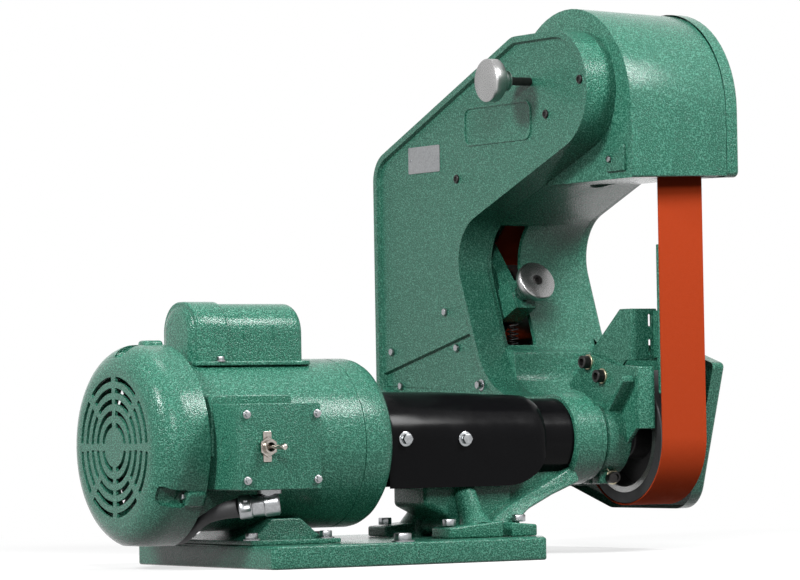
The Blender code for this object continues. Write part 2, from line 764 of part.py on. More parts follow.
tie_y = COIL_CENTRE[1]
tie_low = COIL_REST - CORD_RADIUS - GAP
tie_high = COIL_REST + COIL_PITCH + CORD_RADIUS + GAP
tie_out = COIL_CENTRE[0] - coil_start - 3.5
tie_in = COIL_CENTRE[0] - coil_start + 30.0
tie = block((tie_out - 0.9, tie_in + 0.9), (tie_y - 4, tie_y + 4), (tie_low - 0.9, tie_high + 0.9))
tie_room = block((tie_out, tie_in), (tie_y - 9, tie_y + 9), (tie_low, tie_high))
node("cord_tie", cut(tie, tie_room), PLASTIC)

plug_at = tail_points[-1]
plug_profile = [
    (2.0, 0.0),
    (2.0, 5.6),
    (14.0, 7.0),
    (18.0, 11.5),
    (38.0, 13.0),
    (40.0, 12.0),
    (40.0, 0.0),
]
plug = along(turned(plug_profile, 20), plug_at - Vector((6.0, 0.0, 0.0)), (1.0, 0.0, 0.0))
plug_hole = along(rod(-10.0, 10.0, CORD_RADIUS + GAP, 16), plug_at, (1.0, 0.0, 0.0))
plug_face = plug_at.x + 34.0
blades = []
for side in (-1, 1):
    blade_y = (plug_at.y + 6.3 * side - 0.8, plug_at.y + 6.3 * side + 0.8)
    blades.append(block((plug_face - 4, plug_face + 17), blade_y, (plug_at.z + 0.2, plug_at.z + 6.5)))
ground = along(rod(-4.0, 20.0, 2.4, 12), (plug_face, plug_at.y, plug_at.z - 6.5), (1.0, 0.0, 0.0))
node("power_plug", unite(cut(plug, plug_hole), *blades, ground), PLASTIC)

# Motor shaft, rotor and fan: the turning line starts here
motor_shaft = [
    (SHELL_LEFT - 40, 0.0),
    (SHELL_LEFT - 40, SHAFT_RADIUS - GAP),
    (SHELL_LEFT + 25, SHAFT_RADIUS - GAP),
    (SHELL_LEFT + 25, SHAFT_RADIUS + 2),
    (SHELL_RIGHT + 6, SHAFT_RADIUS + 2),
    (SHELL_RIGHT + 6, SHAFT_RADIUS),
    (59.0, SHAFT_RADIUS),
    (59.0, 0.0),
]
axis = (0.0, 0.0, AXIS_Z)
shaft = node("motor_shaft", on_axis(turned(motor_shaft, 14)), STEEL, at=axis)
rotor = ring(-148.0, -62.0, SHAFT_RADIUS + 2 + GAP, stator_inner - 1.2, 18)
node("rotor_core", on_axis(rotor), LAMINATE, at=axis, parent=shaft)
fan_disc = ring(SHELL_LEFT - 15, SHELL_LEFT - 13, SHAFT_RADIUS, 66.0, 18)
fan_hub = ring(SHELL_LEFT - 34, SHELL_LEFT - 11, SHAFT_RADIUS, 15.0, 18)
fan_blades = []
for count in range(6):
    blade = block((SHELL_LEFT - 32, SHELL_LEFT - 14), (-1.2, 1.2), (13.0, 63.0))
    fan_blades.append(put(blade, Matrix.Rotation(radians(60 * count), 4, "X")))
fan = unite(fan_hub, fan_disc, *fan_blades)
node("cooling_fan", on_axis(fan), PLASTIC, at=axis, parent=shaft)

# Jaw coupling: two hubs and a spider between their jaws
jaw_left = 58.0
jaw_right = jaw_left + 14.0


def sector(inner, outer, middle, half, steps=3):
    angles = [radians(middle + half * (2 * step / steps - 1)) for step in range(steps + 1)]
    outline = [(outer * cos(a), outer * sin(a)) for a in angles]
    return outline + [(inner * cos(a), inner * sin(a)) for a in reversed(angles)]


def coupling_hub(left, right, jaw_from, jaw_to, bore, start):
    hub = ring(left, right, bore, HUB_RADIUS, 18)
    jaws = []
    for third in range(3):
        outline = sector(14.0, HUB_RADIUS - 0.5, start + 120 * third, 15.0)
        jaws.append(prism(outline, jaw_from, jaw_to))
    return on_axis(unite(hub, *jaws))


hub_bore = SHAFT_RADIUS + GAP
motor_hub = coupling_hub(28.0, jaw_left, jaw_left - 3, jaw_right - 0.6, hub_bore, 30.0)
node("motor_coupling_hub", motor_hub, STEEL, at=axis, parent=shaft)
spindle_hub = coupling_hub(jaw_right, 102.0, jaw_left + 0.6, jaw_right + 3, SPINDLE_RADIUS + GAP, 90.0)
node("spindle_coupling_hub", spindle_hub, STEEL, at=axis, parent=shaft)
spider = []
for lobe in range(6):
    for radius, turn in ((27.0, -13.5), (27.0, 0.0), (27.0, 13.5), (13.2, 13.5), (13.2, 46.5)):
        angle = radians(60 * lobe + turn)
        spider.append((radius * cos(angle), radius * sin(angle)))
spider_body = prism(spider, jaw_left + GAP + 0.6, jaw_right - GAP - 0.6)
spider_hole = rod(jaw_left - 5, jaw_right + 5, SHAFT_RADIUS + 1, 18)
node("coupling_spider", on_axis(cut(spider_body, spider_hole)), URETHANE, at=axis, parent=shaft)

# Spindle with the contact wheel on it
spindle_profile = [
    (75.0, 0.0),
    (75.0, SPINDLE_RADIUS),
    (TUBE_RIGHT + 1.5, SPINDLE_RADIUS),
    (TUBE_RIGHT + 1.5, SPINDLE_RADIUS + 3.5),
    (BELT_LEFT - GAP, SPINDLE_RADIUS + 3.5),
    (BELT_LEFT - GAP, SPINDLE_RADIUS),
    (BELT_RIGHT + 12, SPINDLE_RADIUS),
    (BELT_RIGHT + 13, SPINDLE_RADIUS - 1),
    (BELT_RIGHT + 13, 0.0),
]
node("spindle", on_axis(turned(spindle_profile, 14)), STEEL, at=axis, parent=shaft)
tyre_inner = CONTACT_RADIUS - 10.4
wheel_profile = [
    (BELT_LEFT, SPINDLE_RADIUS + GAP),
    (BELT_LEFT, 20.0),
    (BELT_MIDDLE - 6, 21.0),
    (BELT_MIDDLE - 6, tyre_inner - 6),
    (BELT_LEFT, tyre_inner - 5),
    (BELT_LEFT, tyre_inner - GAP),
    (BELT_RIGHT, tyre_inner - GAP),
    (BELT_RIGHT, tyre_inner - 5),
    (BELT_MIDDLE + 6, tyre_inner - 6),
    (BELT_MIDDLE + 6, 21.0),
    (BELT_RIGHT, 20.0),
    (BELT_RIGHT, SPINDLE_RADIUS + GAP),
]
node("contact_wheel_hub", on_axis(turned(wheel_profile, 20)), ALUMINIUM, at=axis, parent=shaft)
tyre = ring(BELT_LEFT, BELT_RIGHT, tyre_inner, CONTACT_RADIUS, 36)
node("contact_wheel_tyre", on_axis(tyre), RUBBER, at=axis, parent=shaft)
nut = prism(circle(0.0, 0.0, 17.3, 6), BELT_RIGHT + GAP, BELT_RIGHT + 10)
nut_hole = rod(BELT_RIGHT - 5, BELT_RIGHT + 15, SPINDLE_RADIUS + GAP, 20)
node("wheel_nut", on_axis(cut(nut, nut_hole)), STEEL, at=axis, parent=shaft)

# Spindle tube and its bearings
tube_bore = SPINDLE_RADIUS + 2.5
race_seat = BEARING_RADIUS + GAP
tube_profile = [
    (TUBE_LEFT, race_seat),
    (TUBE_LEFT, TUBE_RADIUS),
    (RING_RIGHT + 2, TUBE_RADIUS),
    (RING_RIGHT + 2, NOSE_RADIUS),
    (TUBE_RIGHT, NOSE_RADIUS),
    (TUBE_RIGHT, race_seat),
    (TUBE_RIGHT - BEARING_WIDTH - 1, race_seat),
    (TUBE_RIGHT - BEARING_WIDTH - 1, tube_bore),
    (TUBE_LEFT + BEARING_WIDTH + 1, tube_bore),
    (TUBE_LEFT + BEARING_WIDTH + 1, race_seat),
]
node("spindle_tube", on_axis(turned(tube_profile, 24)), BLACK)
race_bore = SPINDLE_RADIUS + GAP
left_race = ring(TUBE_LEFT + 0.5, TUBE_LEFT + 0.5 + BEARING_WIDTH, race_bore, BEARING_RADIUS, 14)
node("left_spindle_bearing", on_axis(left_race), STEEL)
right_race = ring(TUBE_RIGHT - 0.5 - BEARING_WIDTH, TUBE_RIGHT - 0.5, race_bore, BEARING_RADIUS, 14)
node("right_spindle_bearing", on_axis(right_race), STEEL)

# Main frame: arm, ring, trough, gusset and four feet in one casting
nose_y = -64.0
arm_end = 57.0
arm_corners = [
    (320.0, 157.0, 8.0),
    (320.0, 389.0, 30.0),
    (62.0, 495.0, 30.0),
    (nose_y, 495.0, arm_end),
    (nose_y, 398.6, arm_end - 1),
    (176.4, 308.5, 45.0),
    (113.3, AXIS_Z + RING_RADIUS, 70.0),
    (-RING_RADIUS, AXIS_Z + RING_RADIUS, RING_RADIUS),
    (-RING_RADIUS, AXIS_Z - 52.6, RING_RADIUS - 1),
]
arm = prism(rounded(arm_corners, 15.0), ARM_LEFT, ARM_RIGHT)
panel_corners = inset(arm_corners, ARM_RIM)[:7]
panel_front = 46.0
panel_corners += [(panel_front, AXIS_Z + RING_RADIUS - ARM_RIM, 4.0), (panel_front, 92.0, 4.0)]
panel = prism(rounded(panel_corners, 20.0), ARM_LEFT - 5, ARM_LEFT + ARM_PANEL)
low_panel_corners = [
    (panel_corners[0][0], panel_corners[0][1], 3.0),
    (panel_corners[0][0], 176.0, 3.0),
    (150.0, 213.0, 3.0),
    (122.0, 152.0, 30.0),
    (panel_front, AXIS_Z + RING_RADIUS - ARM_RIM, 4.0),
    (panel_front, 92.0, 4.0),
]
low_panel = prism(rounded(low_panel_corners, 15.0), ARM_LEFT - 5, ARM_LEFT + 2 * ARM_PANEL)
pocket_corners = inset(arm_corners, ARM_RIM + 2)[:7]
pocket_corners += [(panel_front, AXIS_Z + RING_RADIUS - ARM_RIM - 2, 4.0), (panel_front, 94.0, 4.0)]
pocket = prism(rounded(pocket_corners, 36.0), ARM_LEFT + 2 * ARM_PANEL + 6, ARM_RIGHT + 5)
pivot_boss = on_axis(rod(ARM_LEFT + 12, ARM_RIGHT, 14.0, 16), PIVOT_Y, PIVOT_Z)
track_boss = on_axis(rod(ARM_LEFT + 2, ARM_RIGHT, 12.0, 16), TRACK_Y, TRACK_Z)
frame = unite(cut(arm, panel, low_panel, pocket), pivot_boss, track_boss)

trough_radius = TUBE_RADIUS + 5
trough_left = 68.0
trough_right = 165.0
low_half = [(-60.0, AXIS_Z - 14), (60.0, AXIS_Z - 14), (60.0, 0.0), (-60.0, 0.0)]
trough = on_axis(rod(trough_left, trough_right, trough_radius, 28))
trough = combine(trough, [prism(low_half, 0.0, 400.0)], "INTERSECT")
gusset_arc = []
for step in range(8):
    angle = radians(92 + 84 * step / 7)
    gusset_arc.append((237.0 + 76.0 * cos(angle), AXIS_Z - 113.5 + 76.0 * sin(angle)))
gusset_outline = [(RING_RIGHT - 1, AXIS_Z - 36.5), (RING_RIGHT - 5, AXIS_Z - 38.7), *gusset_arc]
gusset_outline = [p for p in gusset_outline if p[1] > 30.0]
gusset_top = AXIS_Z - 29.5
gusset_outline += [(trough_right - 30, 34.0), (trough_right - 30, gusset_top), (RING_RIGHT - 1, gusset_top)]
gusset = prism(gusset_outline, -31.0, 31.0, "Y")
frame_ring = on_axis(rod(RING_LEFT, RING_RIGHT, RING_RADIUS + 0.5, 32))
foot_rest = BASE_THICK + SEAT
keel_top = AXIS_Z - 35.5
keel_outline = [
    (trough_left + 1, keel_top),
    (trough_left + 1, keel_top - 24),
    (98.0, 36.0),
    (98.0, foot_rest + 3),
    (trough_right - 1, foot_rest + 3),
    (trough_right - 1, keel_top),
]
keel = prism(keel_outline, -KEEL_HALF, KEEL_HALF, "Y")
feet = []
for side in (-1, 1):
    near = 40.0 * side
    far = 72.0 * side
    high = foot_rest + 16
    left_foot = [(67.5, foot_rest), (67.5, foot_rest + 9.5), (112.0, high), (112.0, foot_rest)]
    right_foot = [(124.0, foot_rest), (124.0, high), (163.0, foot_rest + 10.5), (163.0, foot_rest)]
    feet.append(prism(left_foot, min(near, far), max(near, far), "Y"))
    feet.append(prism(right_foot, min(near, far), max(near, far), "Y"))
    leg = [
        (8.0, AXIS_Z - 33.5),
        (33.0, AXIS_Z - 17.5),
        (38.0, AXIS_Z - 43.5),
        (64.0, foot_rest + 12),
        (64.0, foot_rest + 2),
        (44.0, foot_rest + 2),
        (16.0, AXIS_Z - 47.5),
    ]
    leg = [(y * side, z) for y, z in leg]
    feet.append(prism(leg, 92.0, 111.0))
    feet.append(prism(leg, 126.0, 150.0))
foot_bolts = []
for x in (77.0, 153.0):
    for y in (-56.0, 56.0):
        foot_bolts.append(prism(circle(x, y, 4.5, 12), foot_rest - 5, foot_rest + 40, "Z"))
tube_space = on_axis(rod(60.0, RING_RIGHT + 30, TUBE_RADIUS + 2 * GAP, 26))
frame = unite(frame, frame_ring, gusset, trough, keel, *feet)
pivot_hole = on_axis(rod(ARM_LEFT + 20, ARM_RIGHT + 5, PIVOT_RADIUS + GAP, 14), PIVOT_Y, PIVOT_Z)
track_hole = on_axis(rod(ARM_LEFT - 5, ARM_RIGHT + 5, 4.0 + GAP, 14), TRACK_Y, TRACK_Z)
frame = cut(frame, tube_space, merged(foot_bolts), merged([pivot_hole, track_hole]))
node("main_frame", frame, GREEN)

# Coupling cover: an arched cover that narrows to the right
cover_stations = [
    (21.0, TUBE_RADIUS + 11.6),
    (25.0, TUBE_RADIUS + 13.0),
    (100.0, TUBE_RADIUS + 12.2),
    (150.0, TUBE_RADIUS + 9.6),
    (182.0, TUBE_RADIUS + 7.2),
    (192.0, TUBE_RADIUS + 5.2),
    (197.0, TUBE_RADIUS + 2.6),
]
cover_low = AXIS_Z - 42.5
cover_wall = 2.2
coupling_cover = bmesh.new()
loops = []
for x, radius in cover_stations:
    inside = radius - cover_wall
    turns = [radians(turn) for turn in range(0, 181, 15)]
    arch = [(radius * cos(turn), AXIS_Z + radius * sin(turn)) for turn in turns]
    under = [(inside * cos(turn), AXIS_Z + inside * sin(turn)) for turn in reversed(turns)]
    section = [(radius, cover_low), *arch, (-radius, cover_low)]
    section += [(-inside, cover_low), *under, (inside, cover_low)]
    loops.append([coupling_cover.verts.new((x, y, z)) for y, z in section])
for first, second in zip(loops, loops[1:]):
    for k in range(len(first)):
        coupling_cover.faces.new((first[k - 1], first[k], second[k], second[k - 1]))
half = len(loops[0]) // 2
for loop in (loops[0], loops[-1]):
    for k in range(half - 1):
        coupling_cover.faces.new((loop[k], loop[k + 1], loop[-k - 2], loop[-k - 1]))
node("coupling_cover", settle(coupling_cover), BLACK)

# Belt housing: a pan behind the arm, open to the door, the belt's mouths and the tension arm
guard_front = -88.5
guard_low = 352.0
throat_front = 64.0
housing_left = ARM_RIGHT + GAP
housing_low = 62.0
housing_back = 318.0
ring_top = AXIS_Z + RING_RADIUS
housing_corners = [
    (guard_front, guard_low, 3.0),
    (guard_front, 696.3, 102.0),
    (127.0, 440.0, 30.0),
    (housing_back, 355.0, 28.0),
    (housing_back, 112.0, 25.0),
    (118.0, housing_low, 30.0),
    (throat_front, housing_low, 0.0),
    (throat_front, ring_top, 0.0),
    (113.3, ring_top, 48.0),
    (176.4, 308.5, 45.0),
    (60.0, guard_low, 12.0),
]
lip_corners = housing_corners[:8] + [(130.0, ring_top, 48.0), (194.0, 318.0, 45.0), (72.0, 364.0, 12.0)]
housing = lofted(housing_corners, [(housing_left, 0.0), (HOUSING_RIGHT, HOUSING_DRAFT)], 15.0)
web_right = housing_left + HOUSING_WEB
lip_left = HOUSING_RIGHT - 5.0
lip_inset = HOUSING_WALL + HOUSING_DRAFT
room = lofted(housing_corners, [(web_right, HOUSING_WALL), (lip_left, lip_inset)], 36.0)
lip_room = prism(rounded(inset(lip_corners, lip_inset), 36.0), lip_left - 1, HOUSING_RIGHT + 5)
mouth_z = (housing_low + HOUSING_WALL, ring_top - HOUSING_WALL)
lower_mouth = block((web_right, HOUSING_RIGHT + 5), (throat_front - 5, throat_front + 9), mouth_z)
belt_x = (BELT_LEFT - 6, BELT_RIGHT + 6)
belt_mouth = block(belt_x, (guard_front + 6, -50.0), (guard_low - 5, guard_low + 12))
crank_slot = block((web_right + 2, CRANK_RIGHT + 11), (100.0, 190.0), (198.0, 318.0))
housing = cut(housing, room, lip_room, lower_mouth, belt_mouth, crank_slot)
latch_post = on_axis(rod(web_right - 2, HOUSING_RIGHT - GAP, 7.0, 14), LATCH_Y, LATCH_Z)
spring_peg = on_axis(rod(web_right - 2, CRANK_RIGHT - 2, 2.5, 12), BLOCK_Y + 2, 184.0)
yoke_low = TOP_Z - 18.0
yoke_high = TOP_Z + 18.0
lugs = []
for low, high in ((yoke_low - 9, yoke_low - GAP), (yoke_high + GAP, yoke_high + 9)):
    lugs.append(block((web_right - 2, TRACK_PIN_X + 9), (TOP_Y - 12, TOP_Y + 12), (low, high)))
pad = block((housing_left - 2, housing_left + 2), (-79.0, -49.0), (359.0, 384.0))
housing = unite(housing, latch_post, spring_peg, *lugs, pad)
latch_thread = on_axis(rod(HOUSING_RIGHT - 18, HOUSING_RIGHT + 5, 4.7, 14), LATCH_Y, LATCH_Z)
pin_hole = prism(circle(TRACK_PIN_X, TOP_Y, TRACK_PIN_RADIUS + GAP, 16), yoke_low - 20, yoke_high + 20, "Z")
web_holes = [
    on_axis(rod(housing_left - 5, web_right + 1, PIVOT_RADIUS + GAP, 20), PIVOT_Y, PIVOT_Z),
    on_axis(rod(housing_left - 5, web_right + 1, 4.0 + GAP, 16), TRACK_Y, TRACK_Z),
]
node("belt_housing", cut(housing, latch_thread, pin_hole, merged(web_holes)), GREEN)

# Abrasive belt
inner_path = belt_outline(GAP)
outer_path = belt_outline(GAP + BELT_THICK)
belt = bmesh.new()
edges = []
for (inner_y, inner_z), (outer_y, outer_z) in zip(inner_path, outer_path):
    edges.append([
        belt.verts.new((BELT_LEFT, inner_y, inner_z)),
        belt.verts.new((BELT_RIGHT, inner_y, inner_z)),
        belt.verts.new((BELT_RIGHT, outer_y, outer_z)),
        belt.verts.new((BELT_LEFT, outer_y, outer_z)),
    ])
for index in range(len(edges)):
    for k in range(4):
        belt.faces.new((edges[index - 1][k - 1], edges[index - 1][k], edges[index][k], edges[index][k - 1]))
node("abrasive_belt", settle(belt), ABRASIVE)

# Top wheel on its tilting yoke, with the tracking screw
top_at = (TRACK_PIN_X, TOP_Y, TOP_Z)
yoke_left = web_right + 4.0
yoke_right = BELT_LEFT - 6.0
yoke_block = block((yoke_left, yoke_right), (TOP_Y - 18, TOP_Y + 18), (yoke_low, yoke_high))
yoke_arm = block((yoke_left, yoke_left + 12), (TOP_Y + 10, TRACK_Y + 9), (TRACK_Z - 10, yoke_high))
axle_left = TRACK_PIN_X + TRACK_PIN_RADIUS + 3.0
pin_bore = circle(TRACK_PIN_X, TOP_Y, TRACK_PIN_RADIUS + GAP, 16)
yoke_pin_hole = prism(pin_bore, yoke_low - 5, yoke_high + 5, "Z")
axle_hole = on_axis(rod(axle_left - GAP, yoke_right + 5, AXLE_RADIUS + GAP, 20), TOP_Y, TOP_Z)
yoke_body = cut(unite(yoke_block, yoke_arm), yoke_pin_hole, axle_hole)
yoke = node("tracking_yoke", yoke_body, STEEL, at=top_at)
pin = prism(circle(TRACK_PIN_X, TOP_Y, TRACK_PIN_RADIUS, 16), yoke_low - 9, yoke_high + 10, "Z")
node("tracking_pivot_pin", pin, STEEL)


def axle_profile(left):
    """An axle with a retaining collar past the belt."""
    return [
        (left, 0.0),
        (left, AXLE_RADIUS),
        (BELT_RIGHT + 2, AXLE_RADIUS),
        (BELT_RIGHT + 2, AXLE_RADIUS + 4),
        (BELT_RIGHT + 8, AXLE_RADIUS + 4),
        (BELT_RIGHT + 8, 0.0),
    ]


top_axle = on_axis(turned(axle_profile(axle_left), 14), TOP_Y, TOP_Z)
node("top_axle", top_axle, STEEL, at=top_at, parent=yoke)
race_outer = 17.0


def wheel(radius, crown):
    """A crowned wheel with a bearing seat in its hub."""
    web = 5.0
    seat = race_outer + GAP
    return [
        (BELT_LEFT + 4, seat),
        (BELT_LEFT + 4, seat + 4),
        (BELT_MIDDLE - web, (seat + radius) / 2),
        (BELT_LEFT, radius - 5),
        (BELT_LEFT, radius - crown),
        (BELT_MIDDLE, radius),
        (BELT_RIGHT, radius - crown),
        (BELT_RIGHT, radius - 5),
        (BELT_MIDDLE + web, (seat + radius) / 2),
        (BELT_RIGHT - 4, seat + 4),
        (BELT_RIGHT - 4, seat),
    ]


def race():
    return ring(BELT_LEFT + 6, BELT_RIGHT - 6, AXLE_RADIUS + GAP, race_outer, 14)


top_centre = (BELT_MIDDLE, TOP_Y, TOP_Z)
top_wheel = on_axis(turned(wheel(TOP_RADIUS, 0.8), 20), TOP_Y, TOP_Z)
top = node("top_wheel", top_wheel, ALUMINIUM, at=top_centre, parent=yoke)
node("top_wheel_bearing", on_axis(race(), TOP_Y, TOP_Z), STEEL, at=top_centre, parent=top)

screw_end = TRACK_KNOB_X + 6.0
track_at = (screw_end + 1.0, TRACK_Y, TRACK_Z)
screw = on_axis(rod(screw_end, yoke_left - GAP, 4.0, 16), TRACK_Y, TRACK_Z)
track_screw = node("tracking_screw", screw, BLACK, at=track_at)
knob_profile = [
    (TRACK_KNOB_X, 0.0),
    (TRACK_KNOB_X, 19.0),
    (TRACK_KNOB_X + 1.5, 20.5),
    (TRACK_KNOB_X + 11, 20.5),
    (TRACK_KNOB_X + 12.5, 19.0),
    (TRACK_KNOB_X + 13.5, 11.0),
    (TRACK_KNOB_X + 25, 10.0),
    (TRACK_KNOB_X + 25, 4.0 + GAP),
    (screw_end - GAP, 4.0 + GAP),
    (screw_end - GAP, 0.0),
]
track_knob = on_axis(turned(knob_profile, 20), TRACK_Y, TRACK_Z)
node("tracking_knob", track_knob, ALUMINIUM, at=track_at, parent=track_screw)

# Tension arm: a bell crank with the idler, a block and a knob, pulled down by a spring
pivot_at = (CRANK_LEFT, PIVOT_Y, PIVOT_Z)
crank_corners = [
    (PIVOT_Y - 14, PIVOT_Z + 13, 11.0),
    (PIVOT_Y + 15, PIVOT_Z + 13, 12.0),
    (IDLER_Y + 16, IDLER_Z - 15, 13.0),
    (IDLER_Y - 16, IDLER_Z - 15, 8.0),
    (BLOCK_Y + 6, BLOCK_Z - 9, 2.0),
    (BLOCK_Y + 3, BLOCK_Z + 14, 2.0),
]
crank = prism(rounded(crank_corners, 24.0), CRANK_LEFT, CRANK_RIGHT)
tilt = radians(KNOB_TILT)
lean_matrix = Matrix.Translation((0.0, BLOCK_Y, BLOCK_Z)) @ Matrix.Rotation(-tilt, 4, "X")
crank_block = put(block((CRANK_LEFT - 4, CRANK_RIGHT + 4), (-18.0, 14.0), (-15.0, 15.0)), lean_matrix)
crank_pin_hole = rod(CRANK_LEFT - 5, CRANK_RIGHT + 5, PIVOT_RADIUS + GAP, 20)
crank_axle_hole = rod(CRANK_LEFT - 5, CRANK_RIGHT + 5, AXLE_RADIUS + GAP, 20)
crank_holes = [on_axis(crank_pin_hole, PIVOT_Y, PIVOT_Z), on_axis(crank_axle_hole, IDLER_Y, IDLER_Z)]
forward = Vector((0.0, -cos(tilt), sin(tilt)))
crank_middle = (CRANK_LEFT + CRANK_RIGHT) / 2
stud_at = Vector((crank_middle, BLOCK_Y, BLOCK_Z)) + forward * 18
stud_hole = along(rod(-12.0, 5.0, 5.0 + GAP, 16), stud_at, forward)
crank = cut(unite(crank, crank_block), merged(crank_holes), stud_hole)
arm_node = node("tension_arm", crank, GREEN, at=pivot_at)
pivot_profile = [
    (ARM_RIGHT - 12, 0.0),
    (ARM_RIGHT - 12, PIVOT_RADIUS),
    (web_right + GAP, PIVOT_RADIUS),
    (web_right + GAP, PIVOT_RADIUS + 4),
    (CRANK_LEFT - GAP, PIVOT_RADIUS + 4),
    (CRANK_LEFT - GAP, PIVOT_RADIUS),
    (CRANK_RIGHT + 6, PIVOT_RADIUS),
    (CRANK_RIGHT + 6, 0.0),
]
node("tension_pivot_pin", on_axis(turned(pivot_profile, 14), PIVOT_Y, PIVOT_Z), STEEL)
idler_axle = on_axis(turned(axle_profile(CRANK_LEFT), 14), IDLER_Y, IDLER_Z)
node("idler_axle", idler_axle, STEEL, at=pivot_at, parent=arm_node)
idler_at = (BELT_MIDDLE, IDLER_Y, IDLER_Z)
idler = on_axis(turned(wheel(IDLER_RADIUS, 0.4), 18), IDLER_Y, IDLER_Z)
idler_node = node("idler_wheel", idler, ALUMINIUM, at=idler_at, parent=arm_node)
node("idler_bearing", on_axis(race(), IDLER_Y, IDLER_Z), STEEL, at=idler_at, parent=idler_node)
lift_profile = [
    (-11.0, 0.0),
    (-11.0, 5.0),
    (GAP, 5.0),
    (GAP, 8.5),
    (12.0, 9.5),
    (20.0, 11.0),
    (21.0, 18.5),
    (22.5, 19.8),
    (29.0, 19.8),
    (30.5, 18.4),
    (30.5, 0.0),
]
lift_knob = along(turned(lift_profile, 20), stud_at, forward)
node("tension_knob", lift_knob, ALUMINIUM, at=pivot_at, parent=arm_node)

spring_top = BLOCK_Z - 21.5
spring_bottom = 189.5
spring_x = crank_middle
spring_y = BLOCK_Y + 2
spring_turns = 7
spring_points = []
for step in range(spring_turns * 8 + 1):
    angle = 2 * pi * step / 8
    height = spring_bottom + (spring_top - spring_bottom) * step / (spring_turns * 8)
    x = spring_x + SPRING_RADIUS * cos(angle)
    y = spring_y + SPRING_RADIUS * sin(angle)
    spring_points.append((x, y, height))
tube("tension_spring", spring_points, SPRING_WIRE, 1, STEEL)
print("least gap in the spring", round(least_gap(spring_points, SPRING_WIRE, 4), 2))

# Platen: a split collar on the nose, a bent bracket and the platen behind the belt
axis_front = (CLAMP_LEFT, 0.0, AXIS_Z)
collar = on_axis(rod(CLAMP_LEFT, CLAMP_RIGHT, CLAMP_RADIUS, 26))
clamp_low = AXIS_Z - CLAMP_RADIUS
clamp_lug = block((CLAMP_LEFT + 3, CLAMP_RIGHT - 3), (-15.0, 15.0), (clamp_low - 8, clamp_low + 6))
web_outline = [
    (24.0, 124.0),
    (40.0, 172.0),
    (34.0, 192.0),
    (2.0, 184.0),
    (-20.0, 178.0),
    (-52.0, 176.0),
    (-52.0, 118.0),
    (-22.0, 92.0),
]
clamp_web = prism(web_outline, CLAMP_RIGHT - 7, CLAMP_RIGHT - 2)
clamp_pad = block((CLAMP_RIGHT - 7, CLAMP_RIGHT + 12), (-57.0, -51.0), (117.0, 176.0))
rib_outline = [(-18.0, 138.0), (-51.5, 170.0), (-51.5, 162.0), (-24.0, 132.0)]
clamp_rib = prism(rib_outline, CLAMP_LEFT + 6, CLAMP_RIGHT - 4)
nose_space = on_axis(rod(CLAMP_LEFT - 5, CLAMP_RIGHT + 20, NOSE_RADIUS + 0.6, 22))
slit_z = (clamp_low - 15, AXIS_Z - NOSE_RADIUS + 5)
clamp_slit = block((CLAMP_LEFT - 5, CLAMP_RIGHT + 5), (-1.2, 1.2), slit_z)
clamp_z = clamp_low - 2.6
clamp_middle = (CLAMP_LEFT + CLAMP_RIGHT) / 2
screw_hole = along(rod(-20.0, 20.0, 3.3, 14), (clamp_middle, 0.0, clamp_z), (0.0, 1.0, 0.0))
clamp = unite(collar, clamp_lug, clamp_web, clamp_pad, clamp_rib)
clamp = cut(clamp, nose_space, clamp_slit, screw_hole)
clamp_node = node("platen_clamp", clamp, GREEN, at=axis_front)
screw_profile = [
    (-22.0, 0.0),
    (-22.0, 4.6),
    (-15.3, 4.8),
    (-15.3, 3.0),
    (16.0, 3.0),
    (16.0, 0.0),
]
clamp_screw = along(turned(screw_profile, 16), (clamp_middle, 0.0, clamp_z), (0.0, 1.0, 0.0))
node("platen_clamp_screw", clamp_screw, BLACK, at=axis_front, parent=clamp_node)

bracket_left = CLAMP_RIGHT - 2 + GAP
bracket_right = bracket_left + 3.0
flange_right = 325.0
flange_y = -36.0
bracket_low = AXIS_Z + 72.5
bracket_top = AXIS_Z + 121.5
bracket_outline = [
    (flange_y, bracket_top),
    (-20.0, bracket_top),
    (72.0, AXIS_Z + 48.5),
    (40.0, AXIS_Z + 42.5),
    (-6.0, AXIS_Z + 52.5),
    (-28.0, bracket_low),
    (flange_y, bracket_low),
]
bracket_side = prism(bracket_outline, bracket_left, bracket_right)
bracket_flange = block((bracket_left, flange_right), (flange_y - 3, flange_y), (bracket_low, bracket_top))
bracket_slots = []
for low, high in ((bracket_low + 4, bracket_low + 20), (bracket_top - 17, bracket_top - 5)):
    bracket_slots.append(block((315.0, 319.0), (flange_y - 9, flange_y + 6), (low, high)))
bracket = cut(unite(bracket_side, bracket_flange), merged(bracket_slots))
node("platen_bracket", bracket, GREEN, at=axis_front, parent=clamp_node)
platen_face = -(CONTACT_RADIUS - 1.2)
platen_x = (BELT_LEFT + 0.5, BELT_RIGHT - 0.5)
platen_plate = block(platen_x, (platen_face, platen_face + 4), (PLATEN_BOTTOM, PLATEN_TOP))
back_y = (platen_face + 2, flange_y - 3 - SEAT)
platen_back = block((platen_x[0], flange_right - 1), back_y, (bracket_low + 2, bracket_top - 2))
node("platen", unite(platen_plate, platen_back), GREEN, at=axis_front, parent=clamp_node)

